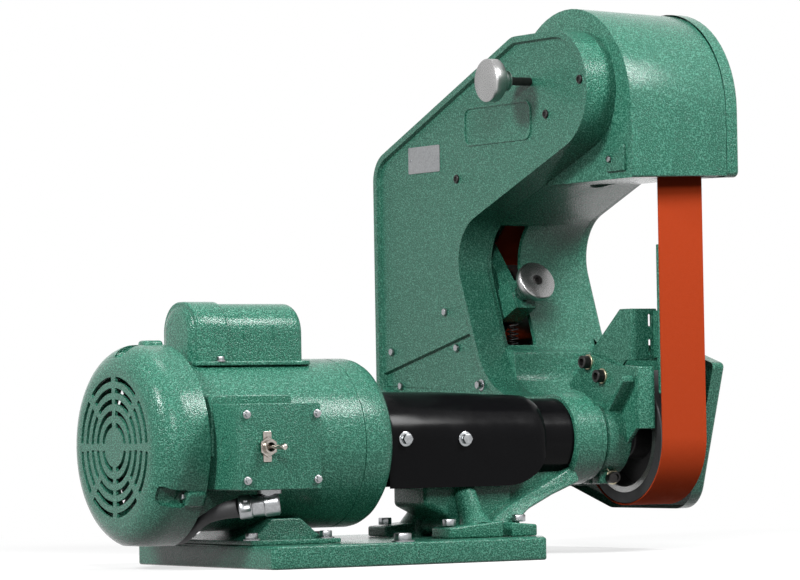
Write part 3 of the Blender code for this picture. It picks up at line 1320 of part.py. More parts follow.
# Side door on a hinge at the back, with a latch knob
door_left = HOUSING_RIGHT + GAP
right_corners = inset(housing_corners, HOUSING_DRAFT)
door_corners = [
    (right_corners[0][0], guard_low + 2, 6.0),
    right_corners[1],
    right_corners[2],
    (housing_back + 2, right_corners[3][1], 28.0),
    (housing_back + 2, 100.0, 25.0),
    (118.0, 39.5, 30.0),
    (-13.0, 39.5, 30.0),
    (-57.0, 178.0, 5.0),
    (8.0, 197.0, 20.0),
    (143.0, 200.0, 25.0),
    (185.0, 313.0, 45.0),
    (67.0, 359.0, 12.0),
]
door_edge = [(door_left, 0.0), (DOOR_RIGHT - 4, 0.0), (DOOR_RIGHT - 1.2, 1.2), (DOOR_RIGHT, 4.0)]
door = lofted(door_corners, door_edge, 18.0)
door_room = lofted(door_corners, [(door_left - 5, 3.0), (DOOR_RIGHT - DOOR_SKIN, 3.0)], 36.0)
door = cut(door, door_room)
eye_outer = 5.0
pin_radius = 2.5
hinge_low = 150.0
hinge_high = 350.0
door_eyes = []
door_bores = []
for low, high in ((hinge_low + 5, 212.0), (288.0, hinge_high - 5)):
    door_eyes.append(prism(circle(HINGE_X, HINGE_Y, eye_outer, 14), low, high, "Z"))
    door_eyes.append(block((HINGE_X - 4, HINGE_X + 1.5), (housing_back + 0.5, HINGE_Y - 1), (low, high)))
    door_bores.append(prism(circle(HINGE_X, HINGE_Y, pin_radius + GAP, 12), low - 3, high + 3, "Z"))
latch_hole = on_axis(rod(door_left - 3, DOOR_RIGHT + 5, 3.0 + 2 * GAP, 14), LATCH_Y, LATCH_Z)
hinge_at = (HINGE_X, HINGE_Y, 250.0)
door = cut(unite(door, *door_eyes), merged(door_bores), latch_hole)
door_node = node("side_door", door, GREEN, at=hinge_at)
knuckle = prism(circle(HINGE_X, HINGE_Y, eye_outer, 14), 213.0, 287.0, "Z")
hinge_pin = prism(circle(HINGE_X, HINGE_Y, pin_radius, 12), hinge_low, hinge_high, "Z")
leaf_back = housing_back - 2.2
leaf_plate = block((345.0, HOUSING_RIGHT - 1), (leaf_back, leaf_back + 2.5), (213.0, 287.0))
leaf_outline = [
    (HOUSING_RIGHT - 4, leaf_back),
    (HOUSING_RIGHT - 1, housing_back + 2.6),
    (HINGE_X, HINGE_Y - 3),
    (HINGE_X, HINGE_Y + 3),
    (HOUSING_RIGHT - 5, leaf_back + 4),
]
leaf_tab = prism(leaf_outline, 213.0, 287.0, "Z")
node("door_hinge", unite(knuckle, hinge_pin, leaf_plate, leaf_tab), STEEL)
latch_profile = [
    (HOUSING_RIGHT - 15, 0.0),
    (HOUSING_RIGHT - 15, 3.0),
    (DOOR_RIGHT + GAP, 3.0),
    (DOOR_RIGHT + GAP, 9.0),
    (DOOR_RIGHT + 3, 14.0),
    (DOOR_RIGHT + 13, 14.0),
    (DOOR_RIGHT + 14.5, 12.5),
    (DOOR_RIGHT + 14.5, 0.0),
]
latch = on_axis(turned(latch_profile, 16), LATCH_Y, LATCH_Z)
node("door_latch_knob", latch, PLASTIC, at=hinge_at, parent=door_node)

print("idler y", round(IDLER_Y, 2), "belt loop", round(belt_spans(wheel_set(IDLER_Y))[1], 2))
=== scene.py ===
# %% [markdown]
# Bench belt grinder, dressed for the photograph.
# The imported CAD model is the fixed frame: it gives every size, every place and every joint.
# This lesson builds finer meshes over it with Blender's own mesh operators, paints them with
# node materials, and lights them in a pale studio. All lengths below are millimetres until
# a form becomes a piece, when it is scaled to metres.

# %% Load the frame
from math import ceil, cos, degrees, pi, radians, sin, tan

import bmesh
import bpy
from mathutils import Matrix, Vector


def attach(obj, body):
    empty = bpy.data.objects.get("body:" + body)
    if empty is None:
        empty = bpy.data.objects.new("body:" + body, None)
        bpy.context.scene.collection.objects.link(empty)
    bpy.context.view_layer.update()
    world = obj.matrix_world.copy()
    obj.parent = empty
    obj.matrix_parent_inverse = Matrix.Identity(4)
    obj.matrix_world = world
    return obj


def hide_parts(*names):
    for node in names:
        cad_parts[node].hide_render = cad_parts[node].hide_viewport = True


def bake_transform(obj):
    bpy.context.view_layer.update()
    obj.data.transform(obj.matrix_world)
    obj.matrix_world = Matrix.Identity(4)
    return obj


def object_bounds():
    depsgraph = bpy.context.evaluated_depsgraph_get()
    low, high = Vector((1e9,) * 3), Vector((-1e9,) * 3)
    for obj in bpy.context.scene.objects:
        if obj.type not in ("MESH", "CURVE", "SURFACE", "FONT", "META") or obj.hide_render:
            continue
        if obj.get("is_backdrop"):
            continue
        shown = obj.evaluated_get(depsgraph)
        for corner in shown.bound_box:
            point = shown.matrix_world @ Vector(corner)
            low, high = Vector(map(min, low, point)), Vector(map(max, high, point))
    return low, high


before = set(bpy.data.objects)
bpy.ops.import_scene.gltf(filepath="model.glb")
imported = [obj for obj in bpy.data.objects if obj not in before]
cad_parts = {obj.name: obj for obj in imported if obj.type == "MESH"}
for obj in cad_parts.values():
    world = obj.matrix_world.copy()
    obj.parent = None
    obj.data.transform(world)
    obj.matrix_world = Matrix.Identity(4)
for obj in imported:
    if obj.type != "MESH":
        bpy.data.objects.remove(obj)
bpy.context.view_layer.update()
MM = 0.001

# %% [markdown]
# Camera. The photograph was taken from far away with a long lens, a little below the middle of
# the machine, turned about 32 degrees from the front. The angles come from straight edges.

# %% Camera
TURN = radians(31.87)
RISE = radians(1.73)
ROLL = radians(-0.96)
CAMERA_PLACE = (-1.99004, -3.3021, 0.132)
FOCAL_PIXELS = 4207.81
PICTURE_PIXELS = 800
SENSOR = 36


def show(name, data):
    """Put new data in the scene as an object."""
    item = bpy.data.objects.new(name, data)
    bpy.context.scene.collection.objects.link(item)
    return item


ahead = Vector((sin(TURN) * cos(RISE), cos(TURN) * cos(RISE), sin(RISE)))
level = Vector((cos(TURN), -sin(TURN), 0))
upright = level.cross(ahead)
across = level * cos(ROLL) + upright * sin(ROLL)
above = upright * cos(ROLL) - level * sin(ROLL)
camera_data = bpy.data.cameras.new("camera")
camera_data.sensor_fit = "HORIZONTAL"
camera_data.sensor_width = SENSOR
camera_data.lens = FOCAL_PIXELS / PICTURE_PIXELS * SENSOR
camera_data.clip_end = 50
camera = show("camera", camera_data)
aimed = Matrix((across, above, -ahead)).transposed()
camera.matrix_world = Matrix.Translation(CAMERA_PLACE) @ aimed.to_4x4()
bpy.context.scene.camera = camera
print("lens", round(camera_data.lens, 1))

# %% [markdown]
# Form helpers. Each one wraps one or two mesh operators, so that a piece reads as a maker would
# say it: a slab with round corners, a turned part, a bar, an edge taken off with a file.

# %% Form helpers
AXIS_Z = 109.5
ORDER = {"X": (2, 0, 1), "Y": (0, 2, 1), "Z": (0, 1, 2)}
LEFT = (-1, 0, 0)
RIGHT = (1, 0, 0)
FRONT = (0, -1, 0)
BACK = (0, 1, 0)
UP = (0, 0, 1)
JOIN = 0.002
CREASE = 38


def settle(form):
    bmesh.ops.remove_doubles(form, verts=form.verts, dist=JOIN)
    bmesh.ops.recalc_face_normals(form, faces=form.faces)
    form.normal_update()
    return form


def verts_in(geometry):
    return [item for item in geometry if isinstance(item, bmesh.types.BMVert)]


def round_edges(form, width, segments=3, angle=40, pick=None):
    """Round every edge sharper than an angle, or those that pick allows."""
    sharp = []
    for edge in form.edges:
        if edge.is_manifold and edge.calc_face_angle(0) > radians(angle):
            if pick is None or pick(edge):
                sharp.append(edge)
    bmesh.ops.bevel(
        form, geom=sharp, offset=width, offset_type="OFFSET", segments=segments,
        profile=0.5, affect="EDGES", clamp_overlap=True, material=-1,
    )
    return form


def rounded(corners):
    """Outline points through corners (u, v, radius), with a true arc at each round corner."""
    points = []
    for index, (u, v, radius) in enumerate(corners):
        here = Vector((u, v))
        if radius <= 0:
            points.append(here)
            continue
        back = (Vector(corners[index - 1][:2]) - here).normalized()
        onward = (Vector(corners[(index + 1) % len(corners)][:2]) - here).normalized()
        opening = back.angle(onward)
        centre = here + (back + onward).normalized() * radius / sin(opening / 2)
        start = here + back * radius / tan(opening / 2) - centre
        sweep = start.angle_signed(here + onward * radius / tan(opening / 2) - centre)
        steps = max(3, ceil(abs(degrees(sweep)) / 6))
        for step in range(steps + 1):
            points.append(centre + Matrix.Rotation(-sweep * step / steps, 2) @ start)
    return points


def oblong(u, v, radius):
    """Corners of a rectangle between two (low, high) pairs."""
    return [(u[0], v[0], radius), (u[1], v[0], radius), (u[1], v[1], radius), (u[0], v[1], radius)]


def flat_outline(corners, height, axis="X"):
    """One flat face through rounded corners."""
    form = bmesh.new()
    spots = []
    for u, v in rounded(corners):
        triple = (u, v, height)
        spots.append(form.verts.new([triple[k] for k in ORDER[axis]]))
    form.faces.new(spots)
    form.normal_update()
    return form


def pull(form, step):
    """Extrude every face of a form by a step."""
    grown = bmesh.ops.extrude_face_region(form, geom=form.faces[:])
    bmesh.ops.translate(form, verts=verts_in(grown["geom"]), vec=step)
    return settle(form)


def slab(corners, low, high, axis="X", edge=1, segments=3):
    """A plate with round corners and softened edges."""
    step = (0, 0, high - low)
    form = pull(flat_outline(corners, low, axis), [step[k] for k in ORDER[axis]])
    if edge > 0:
        round_edges(form, edge, segments)
    return form


def sink(form, face, depth, *rims):
    """Inset a face by each rim in turn, then push it in to the right."""
    for rim in rims:
        bmesh.ops.inset_region(form, faces=[face], thickness=rim, use_even_offset=True)
    bmesh.ops.translate(form, verts=face.verts[:], vec=(depth, 0, 0))
    form.normal_update()


def bar(x, y, z, edge=0.8, segments=3):
    """A box between three (low, high) pairs with rounded edges."""
    form = bmesh.new()
    size = (x[1] - x[0], y[1] - y[0], z[1] - z[0])
    middle = ((x[0] + x[1]) / 2, (y[0] + y[1]) / 2, (z[0] + z[1]) / 2)
    place = Matrix.Translation(middle) @ Matrix.Diagonal((*size, 1))
    bmesh.ops.create_cube(form, size=1, matrix=place)
    if edge > 0:
        round_edges(form, edge, segments)
    return form


def revolve(points, steps, angle=2 * pi, closed=False):
    """Spin a line of points about the X axis."""
    form = bmesh.new()
    spots = [form.verts.new(point) for point in points]
    lines = [form.edges.new(pair) for pair in zip(spots, spots[1:])]
    if closed:
        lines.append(form.edges.new((spots[-1], spots[0])))
    bmesh.ops.spin(
        form, geom=spots + lines, axis=RIGHT, cent=(0, 0, 0),
        dvec=(0, 0, 0), angle=angle, steps=steps, use_merge=angle > pi,
    )
    return settle(form)


def lathe(profile, steps=96):
    """Turn a profile of (x, radius); an open one starts and ends on the axis."""
    return revolve([(x, 0, radius) for x, radius in profile], steps, closed=profile[0][1] > 0)


def drum(left, right, radius):
    """The profile of a plain solid cylinder."""
    return [(left, 0), (left, radius), (right, radius), (right, 0)]


def sleeve(left, right, inner, outer, chamfer):
    """The profile of a tube, or of a rod when inner is 0, with chamfered rims."""
    rise = [(left, inner), (left, outer - chamfer), (left + chamfer, outer)]
    return rise + [(right - chamfer, outer), (right, outer - chamfer), (right, inner)]


def shift(form, x=0, y=0, z=0):
    bmesh.ops.translate(form, verts=form.verts, vec=(x, y, z))
    return form


def turned(profile, steps=96, y=0, z=AXIS_Z):
    """A turned form on the spindle's axis, or on another axis that runs along X."""
    return shift(lathe(profile, steps), 0, y, z)


def aim(form, start, direction):
    """Point a turned form's X axis along a direction, with its x = 0 at the start."""
    swing = Vector(RIGHT).rotation_difference(Vector(direction).normalized())
    matrix = Matrix.Translation(start) @ swing.to_matrix().to_4x4()
    bmesh.ops.transform(form, matrix=matrix, verts=form.verts)
    return form


def into_mesh(form, name):
    mesh = bpy.data.meshes.new(name)
    form.to_mesh(mesh)
    form.free()
    return mesh


def gather(*forms):
    """Several closed forms in one mesh."""
    whole = bmesh.new()
    for form in forms:
        mesh = into_mesh(form, "gather")
        whole.from_mesh(mesh)
        bpy.data.meshes.remove(mesh)
    return whole


def carve(form, *cutters, operation="DIFFERENCE"):
    """Cut openings with the Boolean modifier, one cutter at a time, each applied at once."""
    for cutter in cutters:
        body = show("body", into_mesh(form, "body"))
        tool = show("tool", into_mesh(cutter, "tool"))
        modifier = body.modifiers.new("carve", "BOOLEAN")
        modifier.solver = "EXACT"
        modifier.operation = operation
        modifier.object = tool
        view = bpy.context.evaluated_depsgraph_get()
        mesh = bpy.data.meshes.new_from_object(body.evaluated_get(view))
        form = bmesh.new()
        form.from_mesh(mesh)
        bpy.data.meshes.remove(mesh)
        for item in (body, tool):
            leftover = item.data
            bpy.data.objects.remove(item, do_unlink=True)
            bpy.data.meshes.remove(leftover)
        bmesh.ops.dissolve_degenerate(form, dist=JOIN, edges=form.edges)
        settle(form)
    return form


def piece(name, form, finish, body, stands_for=(), bends=None):
    """Scale a form to metres and make it a piece that rides on a body, or one that stays fixed where it is
    when bends is given.
    """
    bmesh.ops.scale(form, verts=form.verts, vec=(MM, MM, MM))
    bmesh.ops.recalc_face_normals(form, faces=form.faces)
    mesh = into_mesh(form, name)
    mesh.shade_smooth()
    mesh.set_sharp_from_angle(angle=radians(CREASE))
    mesh.materials.append(finish)
    item = show(name, mesh)
    if bends is None:
        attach(item, body)
    else:
        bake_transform(item)
    if stands_for:
        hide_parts(*stands_for)
    print(name, len(mesh.polygons), "faces")
    return item


def cast(name, form, *nodes, body="base"):
    """A painted piece of the machine that stands for CAD nodes."""
    return piece(name, form, green, body, nodes)


print("helpers ready")

# %% [markdown]
# Finishes. The castings and the motor wear one glossy hammered green: a paint that draws into
# small cells as it dries. Its cells come from a Voronoi texture about 1.3 mm across, used for
# both the bump and the painted shade and highlights in the colour. Everything reads Object
# coordinates, so cells stay the same size on every piece.

# %% Material helpers
PAINT_CELLS = 760
PAINT_WANDER = 0.0007
GRAIN_DEPTH = 0.0002


def feed(node, **values):
    """Set a node's inputs, or link those whose value is another node's output."""
    for key, value in values.items():
        socket = node.inputs[key.replace("_", " ")]
        if isinstance(value, bpy.types.NodeSocket):
            node.id_data.links.new(value, socket)
        else:
            socket.default_value = value
    return node


def add(tree, kind, **settings):
    """A new shader node. Settings in small letters are its own, the others are its inputs."""
    node = tree.nodes.new("ShaderNode" + kind)
    inputs = {}
    for key, value in settings.items():
        if key.islower():
            setattr(node, key, value)
        else:
            inputs[key] = value
    return feed(node, **inputs)


def blank_finish(name, colour, rough, metal=0, specular=0.5):
    finish = bpy.data.materials.new(name)
    finish.use_nodes = True
    shader = finish.node_tree.nodes["Principled BSDF"]
    feed(shader, Base_Color=(*colour, 1), Roughness=rough, Metallic=metal, Specular_IOR_Level=specular)
    return finish, finish.node_tree, shader


def object_place(tree):
    return add(tree, "TexCoord").outputs["Object"]


def grain(tree, scale, detail=2, rough=0.5):
    """A noise texture on Object coordinates."""
    noise = add(tree, "TexNoise", Scale=scale, Detail=detail, Roughness=rough, Vector=object_place(tree))
    return noise.outputs["Fac"]


def ramp(tree, value, stops):
    """A colour ramp of (place, colour) stops."""
    node = add(tree, "ValToRGB", Fac=value)
    elements = node.color_ramp.elements
    while len(elements) < len(stops):
        elements.new(0.5)
    for element, (place, colour) in zip(elements, stops):
        element.position = place
        element.color = (*colour, 1)
    return node.outputs["Color"]


def spread(tree, value, low, high):
    """Stretch the middle half of a 0 to 1 value over a range."""
    node = add(tree, "MapRange", Value=value, From_Min=0.25, From_Max=0.75, To_Min=low, To_Max=high)
    return node.outputs["Result"]


def bumped(tree, height, strength, distance):
    bump = add(tree, "Bump", Strength=strength, Distance=distance, Height=height)
    return bump.outputs["Normal"]


def mottled(name, dark, light, rough, metal, scale, strength, specular=0.5):
    """A finish with a fine grain in its colour, gloss and surface."""
    finish, tree, shader = blank_finish(name, dark, rough[0], metal, specular)
    fine = grain(tree, scale, 3, 0.6)
    feed(
        shader, Base_Color=ramp(tree, fine, [(0.3, dark), (0.7, light)]),
        Roughness=spread(tree, grain(tree, scale / 14), *rough),
        Normal=bumped(tree, fine, strength, GRAIN_DEPTH),
    )
    return finish


def hammered(name, dimple_shade, body, rim_highlight):
    """Hammered paint: cells that sink at their middle; the colour is darker there as painted shade and
    lighter at their rims as painted highlight.
    """
    finish, tree, shader = blank_finish(name, body, 0.2, 0, 0.12)
    place = object_place(tree)
    wander = add(tree, "TexNoise", Scale=PAINT_CELLS * 0.55, Detail=2, Vector=place)
    shove = add(tree, "VectorMath", operation="MULTIPLY_ADD")
    tree.links.new(wander.outputs["Color"], shove.inputs[0])
    shove.inputs[1].default_value = (PAINT_WANDER, PAINT_WANDER, PAINT_WANDER)
    tree.links.new(place, shove.inputs[2])
    cell = add(
        tree, "TexVoronoi", feature="SMOOTH_F1", Scale=PAINT_CELLS, Smoothness=0.5, Randomness=0.85,
        Vector=shove.outputs["Vector"],
    )
    depth = cell.outputs["Distance"]
    # The colour ramp paints shade at each cell's middle and a highlight at its rim; the bump and the coat
    # are real.
    feed(
        shader, Base_Color=ramp(tree, depth, [(0.12, dimple_shade), (0.42, body), (0.78, rim_highlight)]),
        Roughness=spread(tree, grain(tree, 24), 0.13, 0.22), Normal=bumped(tree, depth, 1, 0.0006),
        Coat_Weight=0.55, Coat_IOR=1.27, Coat_Roughness=0.16, Coat_Normal=bumped(tree, depth, 0.3, 0.0004),
    )
    return finish


def turned_metal(name, colour, centre, axis=RIGHT, rings=900, rough=0.26):
    """Metal with the fine rings that a lathe tool leaves round an axis."""
    finish, tree, shader = blank_finish(name, colour, rough, 1)
    swing = Vector(axis).normalized().rotation_difference(Vector(RIGHT))
    centred = -(swing.to_matrix() @ (Vector(centre) * MM))
    mapping = add(tree, "Mapping", Vector=object_place(tree), Rotation=swing.to_euler(), Location=centred)
    wave = add(
        tree, "TexWave", wave_type="RINGS", rings_direction="X", Scale=rings, Distortion=1.2,
        Detail=3, Detail_Scale=40, Vector=mapping.outputs["Vector"],
    )
    ridge = wave.outputs["Fac"]
    shade = tuple(value * 0.86 for value in colour)
    feed(
        shader, Base_Color=ramp(tree, ridge, [(0.1, shade), (0.9, colour)]),
        Roughness=spread(tree, ridge, rough - 0.05, rough + 0.08), Normal=bumped(tree, ridge, 0.25, 0.00008),
    )
    return finish


# %% The finishes themselves
# Painted shade for the cells' middles, the paint's own green, then a painted highlight for their rims.
green = hammered("hammered_green", (0.004, 0.05, 0.031), (0.015, 0.108, 0.069), (0.075, 0.24, 0.172))
black = mottled(
    "satin_black", (0.002, 0.002, 0.0024), (0.004, 0.004, 0.0045), (0.16, 0.24), 0, 900, 0.03, 0.06
)
steel = mottled("machined_steel", (0.24, 0.245, 0.25), (0.36, 0.37, 0.38), (0.26, 0.4), 1, 700, 0.06)
zinc = mottled("zinc_plate", (0.26, 0.27, 0.28), (0.4, 0.41, 0.42), (0.22, 0.34), 1, 500, 0.05)
brass_zinc = mottled("yellow_zinc", (0.4, 0.36, 0.24), (0.55, 0.5, 0.36), (0.26, 0.4), 1, 500, 0.05)
oxide = mottled("black_oxide", (0.012, 0.011, 0.011), (0.03, 0.028, 0.027), (0.35, 0.5), 0.6, 600, 0.08)
nickel = mottled("nickel_plate", (0.34, 0.31, 0.28), (0.46, 0.43, 0.39), (0.16, 0.28), 1, 400, 0.03)
rubber = mottled("black_rubber", (0.012, 0.012, 0.013), (0.022, 0.022, 0.023), (0.5, 0.7), 0, 800, 0.12, 0.4)
plastic = mottled("black_plastic", (0.015, 0.015, 0.016), (0.028, 0.028, 0.029), (0.38, 0.5), 0, 900, 0.1)
urethane = mottled("red_urethane", (0.35, 0.03, 0.025), (0.45, 0.05, 0.04), (0.4, 0.55), 0, 500, 0.1)
laminate = mottled("silicon_steel", (0.2, 0.2, 0.21), (0.32, 0.32, 0.33), (0.4, 0.6), 1, 1200, 0.1)
cloth = mottled(
    "orange_abrasive", (0.3, 0.031, 0.005), (0.39, 0.045, 0.009), (0.75, 0.9), 0, 2600, 0.5, 0.12
)
dark_hub = mottled("dark_cast_wheel", (0.02, 0.02, 0.021), (0.045, 0.044, 0.044), (0.35, 0.5), 0.4, 500, 0.1)
KNOB_GREY = (0.38, 0.38, 0.378)
TRACK_LEFT, TRACK_Y, TRACK_Z = 185, 37, 450
knob_metal = turned_metal("turned_knob", KNOB_GREY, (TRACK_LEFT, TRACK_Y, TRACK_Z))
LIFT_AXIS = Vector((0, -cos(radians(25)), sin(radians(25))))
LIFT_SEAT = Vector((287, 150, 243)) + LIFT_AXIS * 18
lift_metal = turned_metal("turned_lift_knob", KNOB_GREY, LIFT_SEAT, LIFT_AXIS)
TOP_Y, TOP_Z, TOP_RADIUS = -12.2, 437, 50.8
IDLER_Y, IDLER_Z, IDLER_RADIUS = 225.48, 245, 38.1
CONTACT_RADIUS = 63.5


def wheel_finish(name, y, z):
    return turned_metal(name, (0.46, 0.46, 0.455), (0, y, z), RIGHT, 600, 0.3)


wheel_metal = wheel_finish("turned_wheel", 0, AXIS_Z)
top_metal = wheel_finish("turned_top_wheel", TOP_Y, TOP_Z)
idler_metal = wheel_finish("turned_idler", IDLER_Y, IDLER_Z)
print("finishes", len(bpy.data.materials))

# %% [markdown]
# Pieces that stay as the CAD has them are the ones inside: bearings, shafts, windings, pins.
# They only need a finish that suits the metal or plastic that they are made of.

# %% Finishes for the inner pieces
STEEL_NODES = [
    "drive_motor_bearing", "fan_motor_bearing", "left_spindle_bearing", "right_spindle_bearing",
    "top_wheel_bearing", "idler_bearing", "motor_shaft", "spindle", "motor_coupling_hub",
    "spindle_coupling_hub", "tracking_yoke", "tracking_pivot_pin", "tension_pivot_pin", "top_axle",
    "idler_axle",
]
INNER = [
    (steel, STEEL_NODES),
    (urethane, ["coupling_spider"]),
    (laminate, ["stator_core", "rotor_core"]),
    (plastic, ["cooling_fan", "start_capacitor", "cord_tie", "power_plug"]),
    (green, ["fan_end_bell", "tension_arm"]),
    (oxide, ["platen_clamp_screw", "tracking_screw"]),
    (nickel, ["switch_body"]),
]
for finish, names in INNER:
    for name in names:
        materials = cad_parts[name].data.materials
        materials.clear()
        materials.append(finish)
print("inner finishes", len(INNER))

# %% [markdown]
# Fasteners. Hex bolts are a six-sided circle pulled up and softened; socket screws are turned,
# with a round pit. Washers lie under both. They are small, so a few dozen faces do.

# %% Fasteners
WASHER = 1.2


def hex_head(across_flats, height, washer=0):
    """A hex head standing on x = 0, with a washer under it when asked."""
    form = bmesh.new()
    radius = across_flats / 2 / cos(pi / 6)
    lift = WASHER if washer > 0 else 0
    turnover = Matrix.Translation((lift + height / 2, 0, 0)) @ Matrix.Rotation(pi / 2, 4, "Y")
    bmesh.ops.create_cone(
        form, cap_ends=True, segments=6, radius1=radius, radius2=radius, depth=height, matrix=turnover
    )
    round_edges(form, height * 0.12, 2)
    if washer > 0:
        disc = [(-0.3, 0), (-0.3, washer), (1, washer), (WASHER, washer - 0.3), (WASHER, 0)]
        form = gather(form, lathe(disc, 32))
    return form


def socket_head(radius, height):
    """A socket cap screw head standing on x = 0, with a pit."""
    rim = [(-0.3, 0), (-0.3, radius), (height - 0.5, radius), (height, radius - 0.5)]
    pit = [(height, radius * 0.58), (height * 0.45, radius * 0.5), (height * 0.4, 0)]
    return lathe(rim + pit, 24)


def thick_washer(radius):
    return lathe([(-0.2, 0), (-0.2, radius), (1.2, radius), (1.6, radius - 0.4), (1.6, 0)], 40)


def screws(name, places, direction, form, finish=zinc, body="base"):
    """One piece of equal fasteners at places, all turned one way."""
    forms = [aim(form.copy(), place, direction) for place in places]
    form.free()
    return piece(name, gather(*forms), finish, body)


def black_screws(name, places, direction, radius, height, body="base"):
    return screws(name, places, direction, socket_head(radius, height), oxide, body)


print("fasteners ready")

# %% [markdown]
# Base plate: a thick plate with its corners eased and the front right corner clipped. It is a
# slab, so one outline and one extrusion make it, and a bevel gives the paint its soft edge.

# %% Base plate
BASE_TOP = 20.6
base_corners = [
    (-143, -116, 7), (143, -116, 3), (170, -72, 3), (170, 138, 7), (-143, 138, 7),
]
cast("base_slab", slab(base_corners, 0, BASE_TOP, "Z", 2.2, 4), "base_plate")
screws("hold_down_bolts", [(0, -99, BASE_TOP), (0, 121, BASE_TOP)], UP, hex_head(14, 6.5, 10.5))

# %% [markdown]
# Motor. The shell and its end bell are turned; the foot is a plate with a saddle cut to the
# shell's round. The fan cover is spun from its profile with many steps, the slot faces are
# taken out of it, it is given its thickness, and then its screw pockets are cut and lined.

# %% Motor shell, bell and foot
cast("motor_barrel", turned(sleeve(-188, -23, 74, 77, 0.6), 128), "motor_shell")
bell_outside = [
    (-22.7, 71), (-22.7, 76.2), (-22, 77), (-4, 77), (0.5, 76.2), (5, 73.8), (9, 69.4),
    (12.2, 63.4), (14.6, 54), (16.4, 44), (18.2, 34), (19, 27),
]
bell_inside = [(19, 9.5), (0.5, 9.5), (0.5, 23), (11, 27), (7, 60), (-1, 69)]
cast("drive_bell", turned(bell_outside + bell_inside, 128), "drive_end_bell")


def motor_room():
    """The space of the motor's shell, a little larger, for cutting what sits on it."""
    return turned(drum(-190, -20, 77.2), 128)


FOOT_TOP = 25
foot_plate = slab(oblong((-141.9, -49.1), (-75.9, 75.9), 4), 20.8, FOOT_TOP, "Z", 0.8)
saddle_corners = [
    (-137, 22, 0), (-124, 29.5, 16), (-108.5, 43.5, 6), (-79, 43.5, 6), (-62, 29.5, 16),
    (-48.5, 22, 0),
]
saddle = carve(slab(saddle_corners, -54, 54, "Y", 1.8), motor_room())
cast("motor_saddle", gather(foot_plate, saddle), "motor_foot")
foot_places = [(x, y, FOOT_TOP) for x in (-134.3, -58.1) for y in (-61.9, 61.9)]
screws("motor_foot_bolts", foot_places, UP, hex_head(10, 5.5, 7.6))

# %% Fan cover
FAN_FACE = -238
FAN_RADIUS = 91
FAN_EDGE = -191
FAN_LOW = 21.5
SHOULDER = 25
LINER_GAP = 0.2
slot_radii = (20, 30.5, 40.5, 50.5, 60.5)
slot_half = 2.2
spoke_half = 3


def shoulder(inset):
    """The cover's round shoulder, moved inward by an inset."""
    arc = []
    for step in range(10):
        bend = radians(10 * step)
        x = FAN_FACE + SHOULDER + inset - SHOULDER * cos(bend)
        arc.append((x, FAN_RADIUS - SHOULDER - inset + SHOULDER * sin(bend)))
    return arc


dome = [(FAN_FACE, 0)]
for radius in slot_radii:
    dome += [(FAN_FACE, radius - slot_half), (FAN_FACE, radius + slot_half)]
dome += shoulder(0)
dome += [(x, FAN_RADIUS) for x in (-209, -205, -200, -195, FAN_EDGE)]
fan_form = lathe(dome, 192)
slots = []
for face in fan_form.faces:
    middle = face.calc_center_median()
    spoke = Vector((middle.y, middle.z))
    if middle.x > FAN_FACE + 0.1:
        continue
    for order, radius in enumerate(slot_radii):
        if abs(spoke.length - radius) > slot_half * 0.8:
            continue
        spokes = 4 if order < 2 else 8
        angle = spoke.angle_signed(Vector((1, 0)))
        near = (angle + pi / spokes) % (2 * pi / spokes) - pi / spokes
        if abs(near) * radius > spoke_half:
            slots.append(face)
bmesh.ops.delete(fan_form, geom=slots, context="FACES")
for vert in fan_form.verts:
    vert.co.z = max(vert.co.z, FAN_LOW - AXIS_Z)
bmesh.ops.recalc_face_normals(fan_form, faces=fan_form.faces)
bmesh.ops.solidify(fan_form, geom=fan_form.faces[:], thickness=2.5)
shift(fan_form, z=AXIS_Z)
liner_edge = FAN_EDGE - LINER_GAP
liner = [(FAN_FACE + LINER_GAP, 0), *shoulder(LINER_GAP)]
liner += [(liner_edge, FAN_RADIUS - LINER_GAP), (liner_edge, 0)]
pockets = []
cutters = []
ears = []
shroud_places = []
for angle in (-30.5, 89.5, 209.5):
    outward = Vector((0, -cos(radians(angle)), sin(radians(angle))))
    tangent = outward.cross(Vector(RIGHT))
    facing = Matrix((RIGHT, tangent, outward)).transposed().to_4x4()
    place = Matrix.Translation((0, 0, AXIS_Z)) @ facing
    hollow = bar((-260, -207.5), (-9, 9), (79.5, 105), 5, 5)
    wall = bar((-236, -204.5), (-11.5, 11.5), (76.5, 99), 0)
    ear = bar((-210, -190.6), (-7.5, 7.5), (84, 94.5), 3.4, 5)
    for form in (hollow, wall, ear):
        bmesh.ops.transform(form, matrix=place, verts=form.verts)
    wall = carve(wall, turned(liner, 128), operation="INTERSECT")
    pockets.append(carve(wall, hollow.copy()))
    cutters.append(hollow)
    ears.append(ear)
    shroud_places.append(Vector((-207.8, 0, AXIS_Z)) + outward * 85.6)
fan_form = gather(carve(fan_form, *cutters), *pockets, *ears)
for vert in fan_form.verts:
    vert.co.z = max(vert.co.z, FAN_LOW)
cast("fan_shroud", fan_form, "fan_cover")
screws("shroud_screws", shroud_places, LEFT, hex_head(6, 3.2, 4.6))

# %% [markdown]
# Capacitor cover: a deep-drawn lid on top of the motor. Its body is a slab with a round top whose
# ends are rounded with a wide bevel; the left third stands a little proud, and a thin flange
# runs round its foot.

# %% Capacitor cover
CAP_LOW = 180.5
FLANGE_TOP = 184.5


def lid(half, top, radius, left, right, edge):
    corners = [(-half, CAP_LOW, 0), (-half, top, radius), (half, top, radius), (half, CAP_LOW, 0)]
    form = slab(corners, left, right, "X", 0)
    return round_edges(form, edge, 6, 40, lambda item: max(v.co.z for v in item.verts) > CAP_LOW + 0.1)


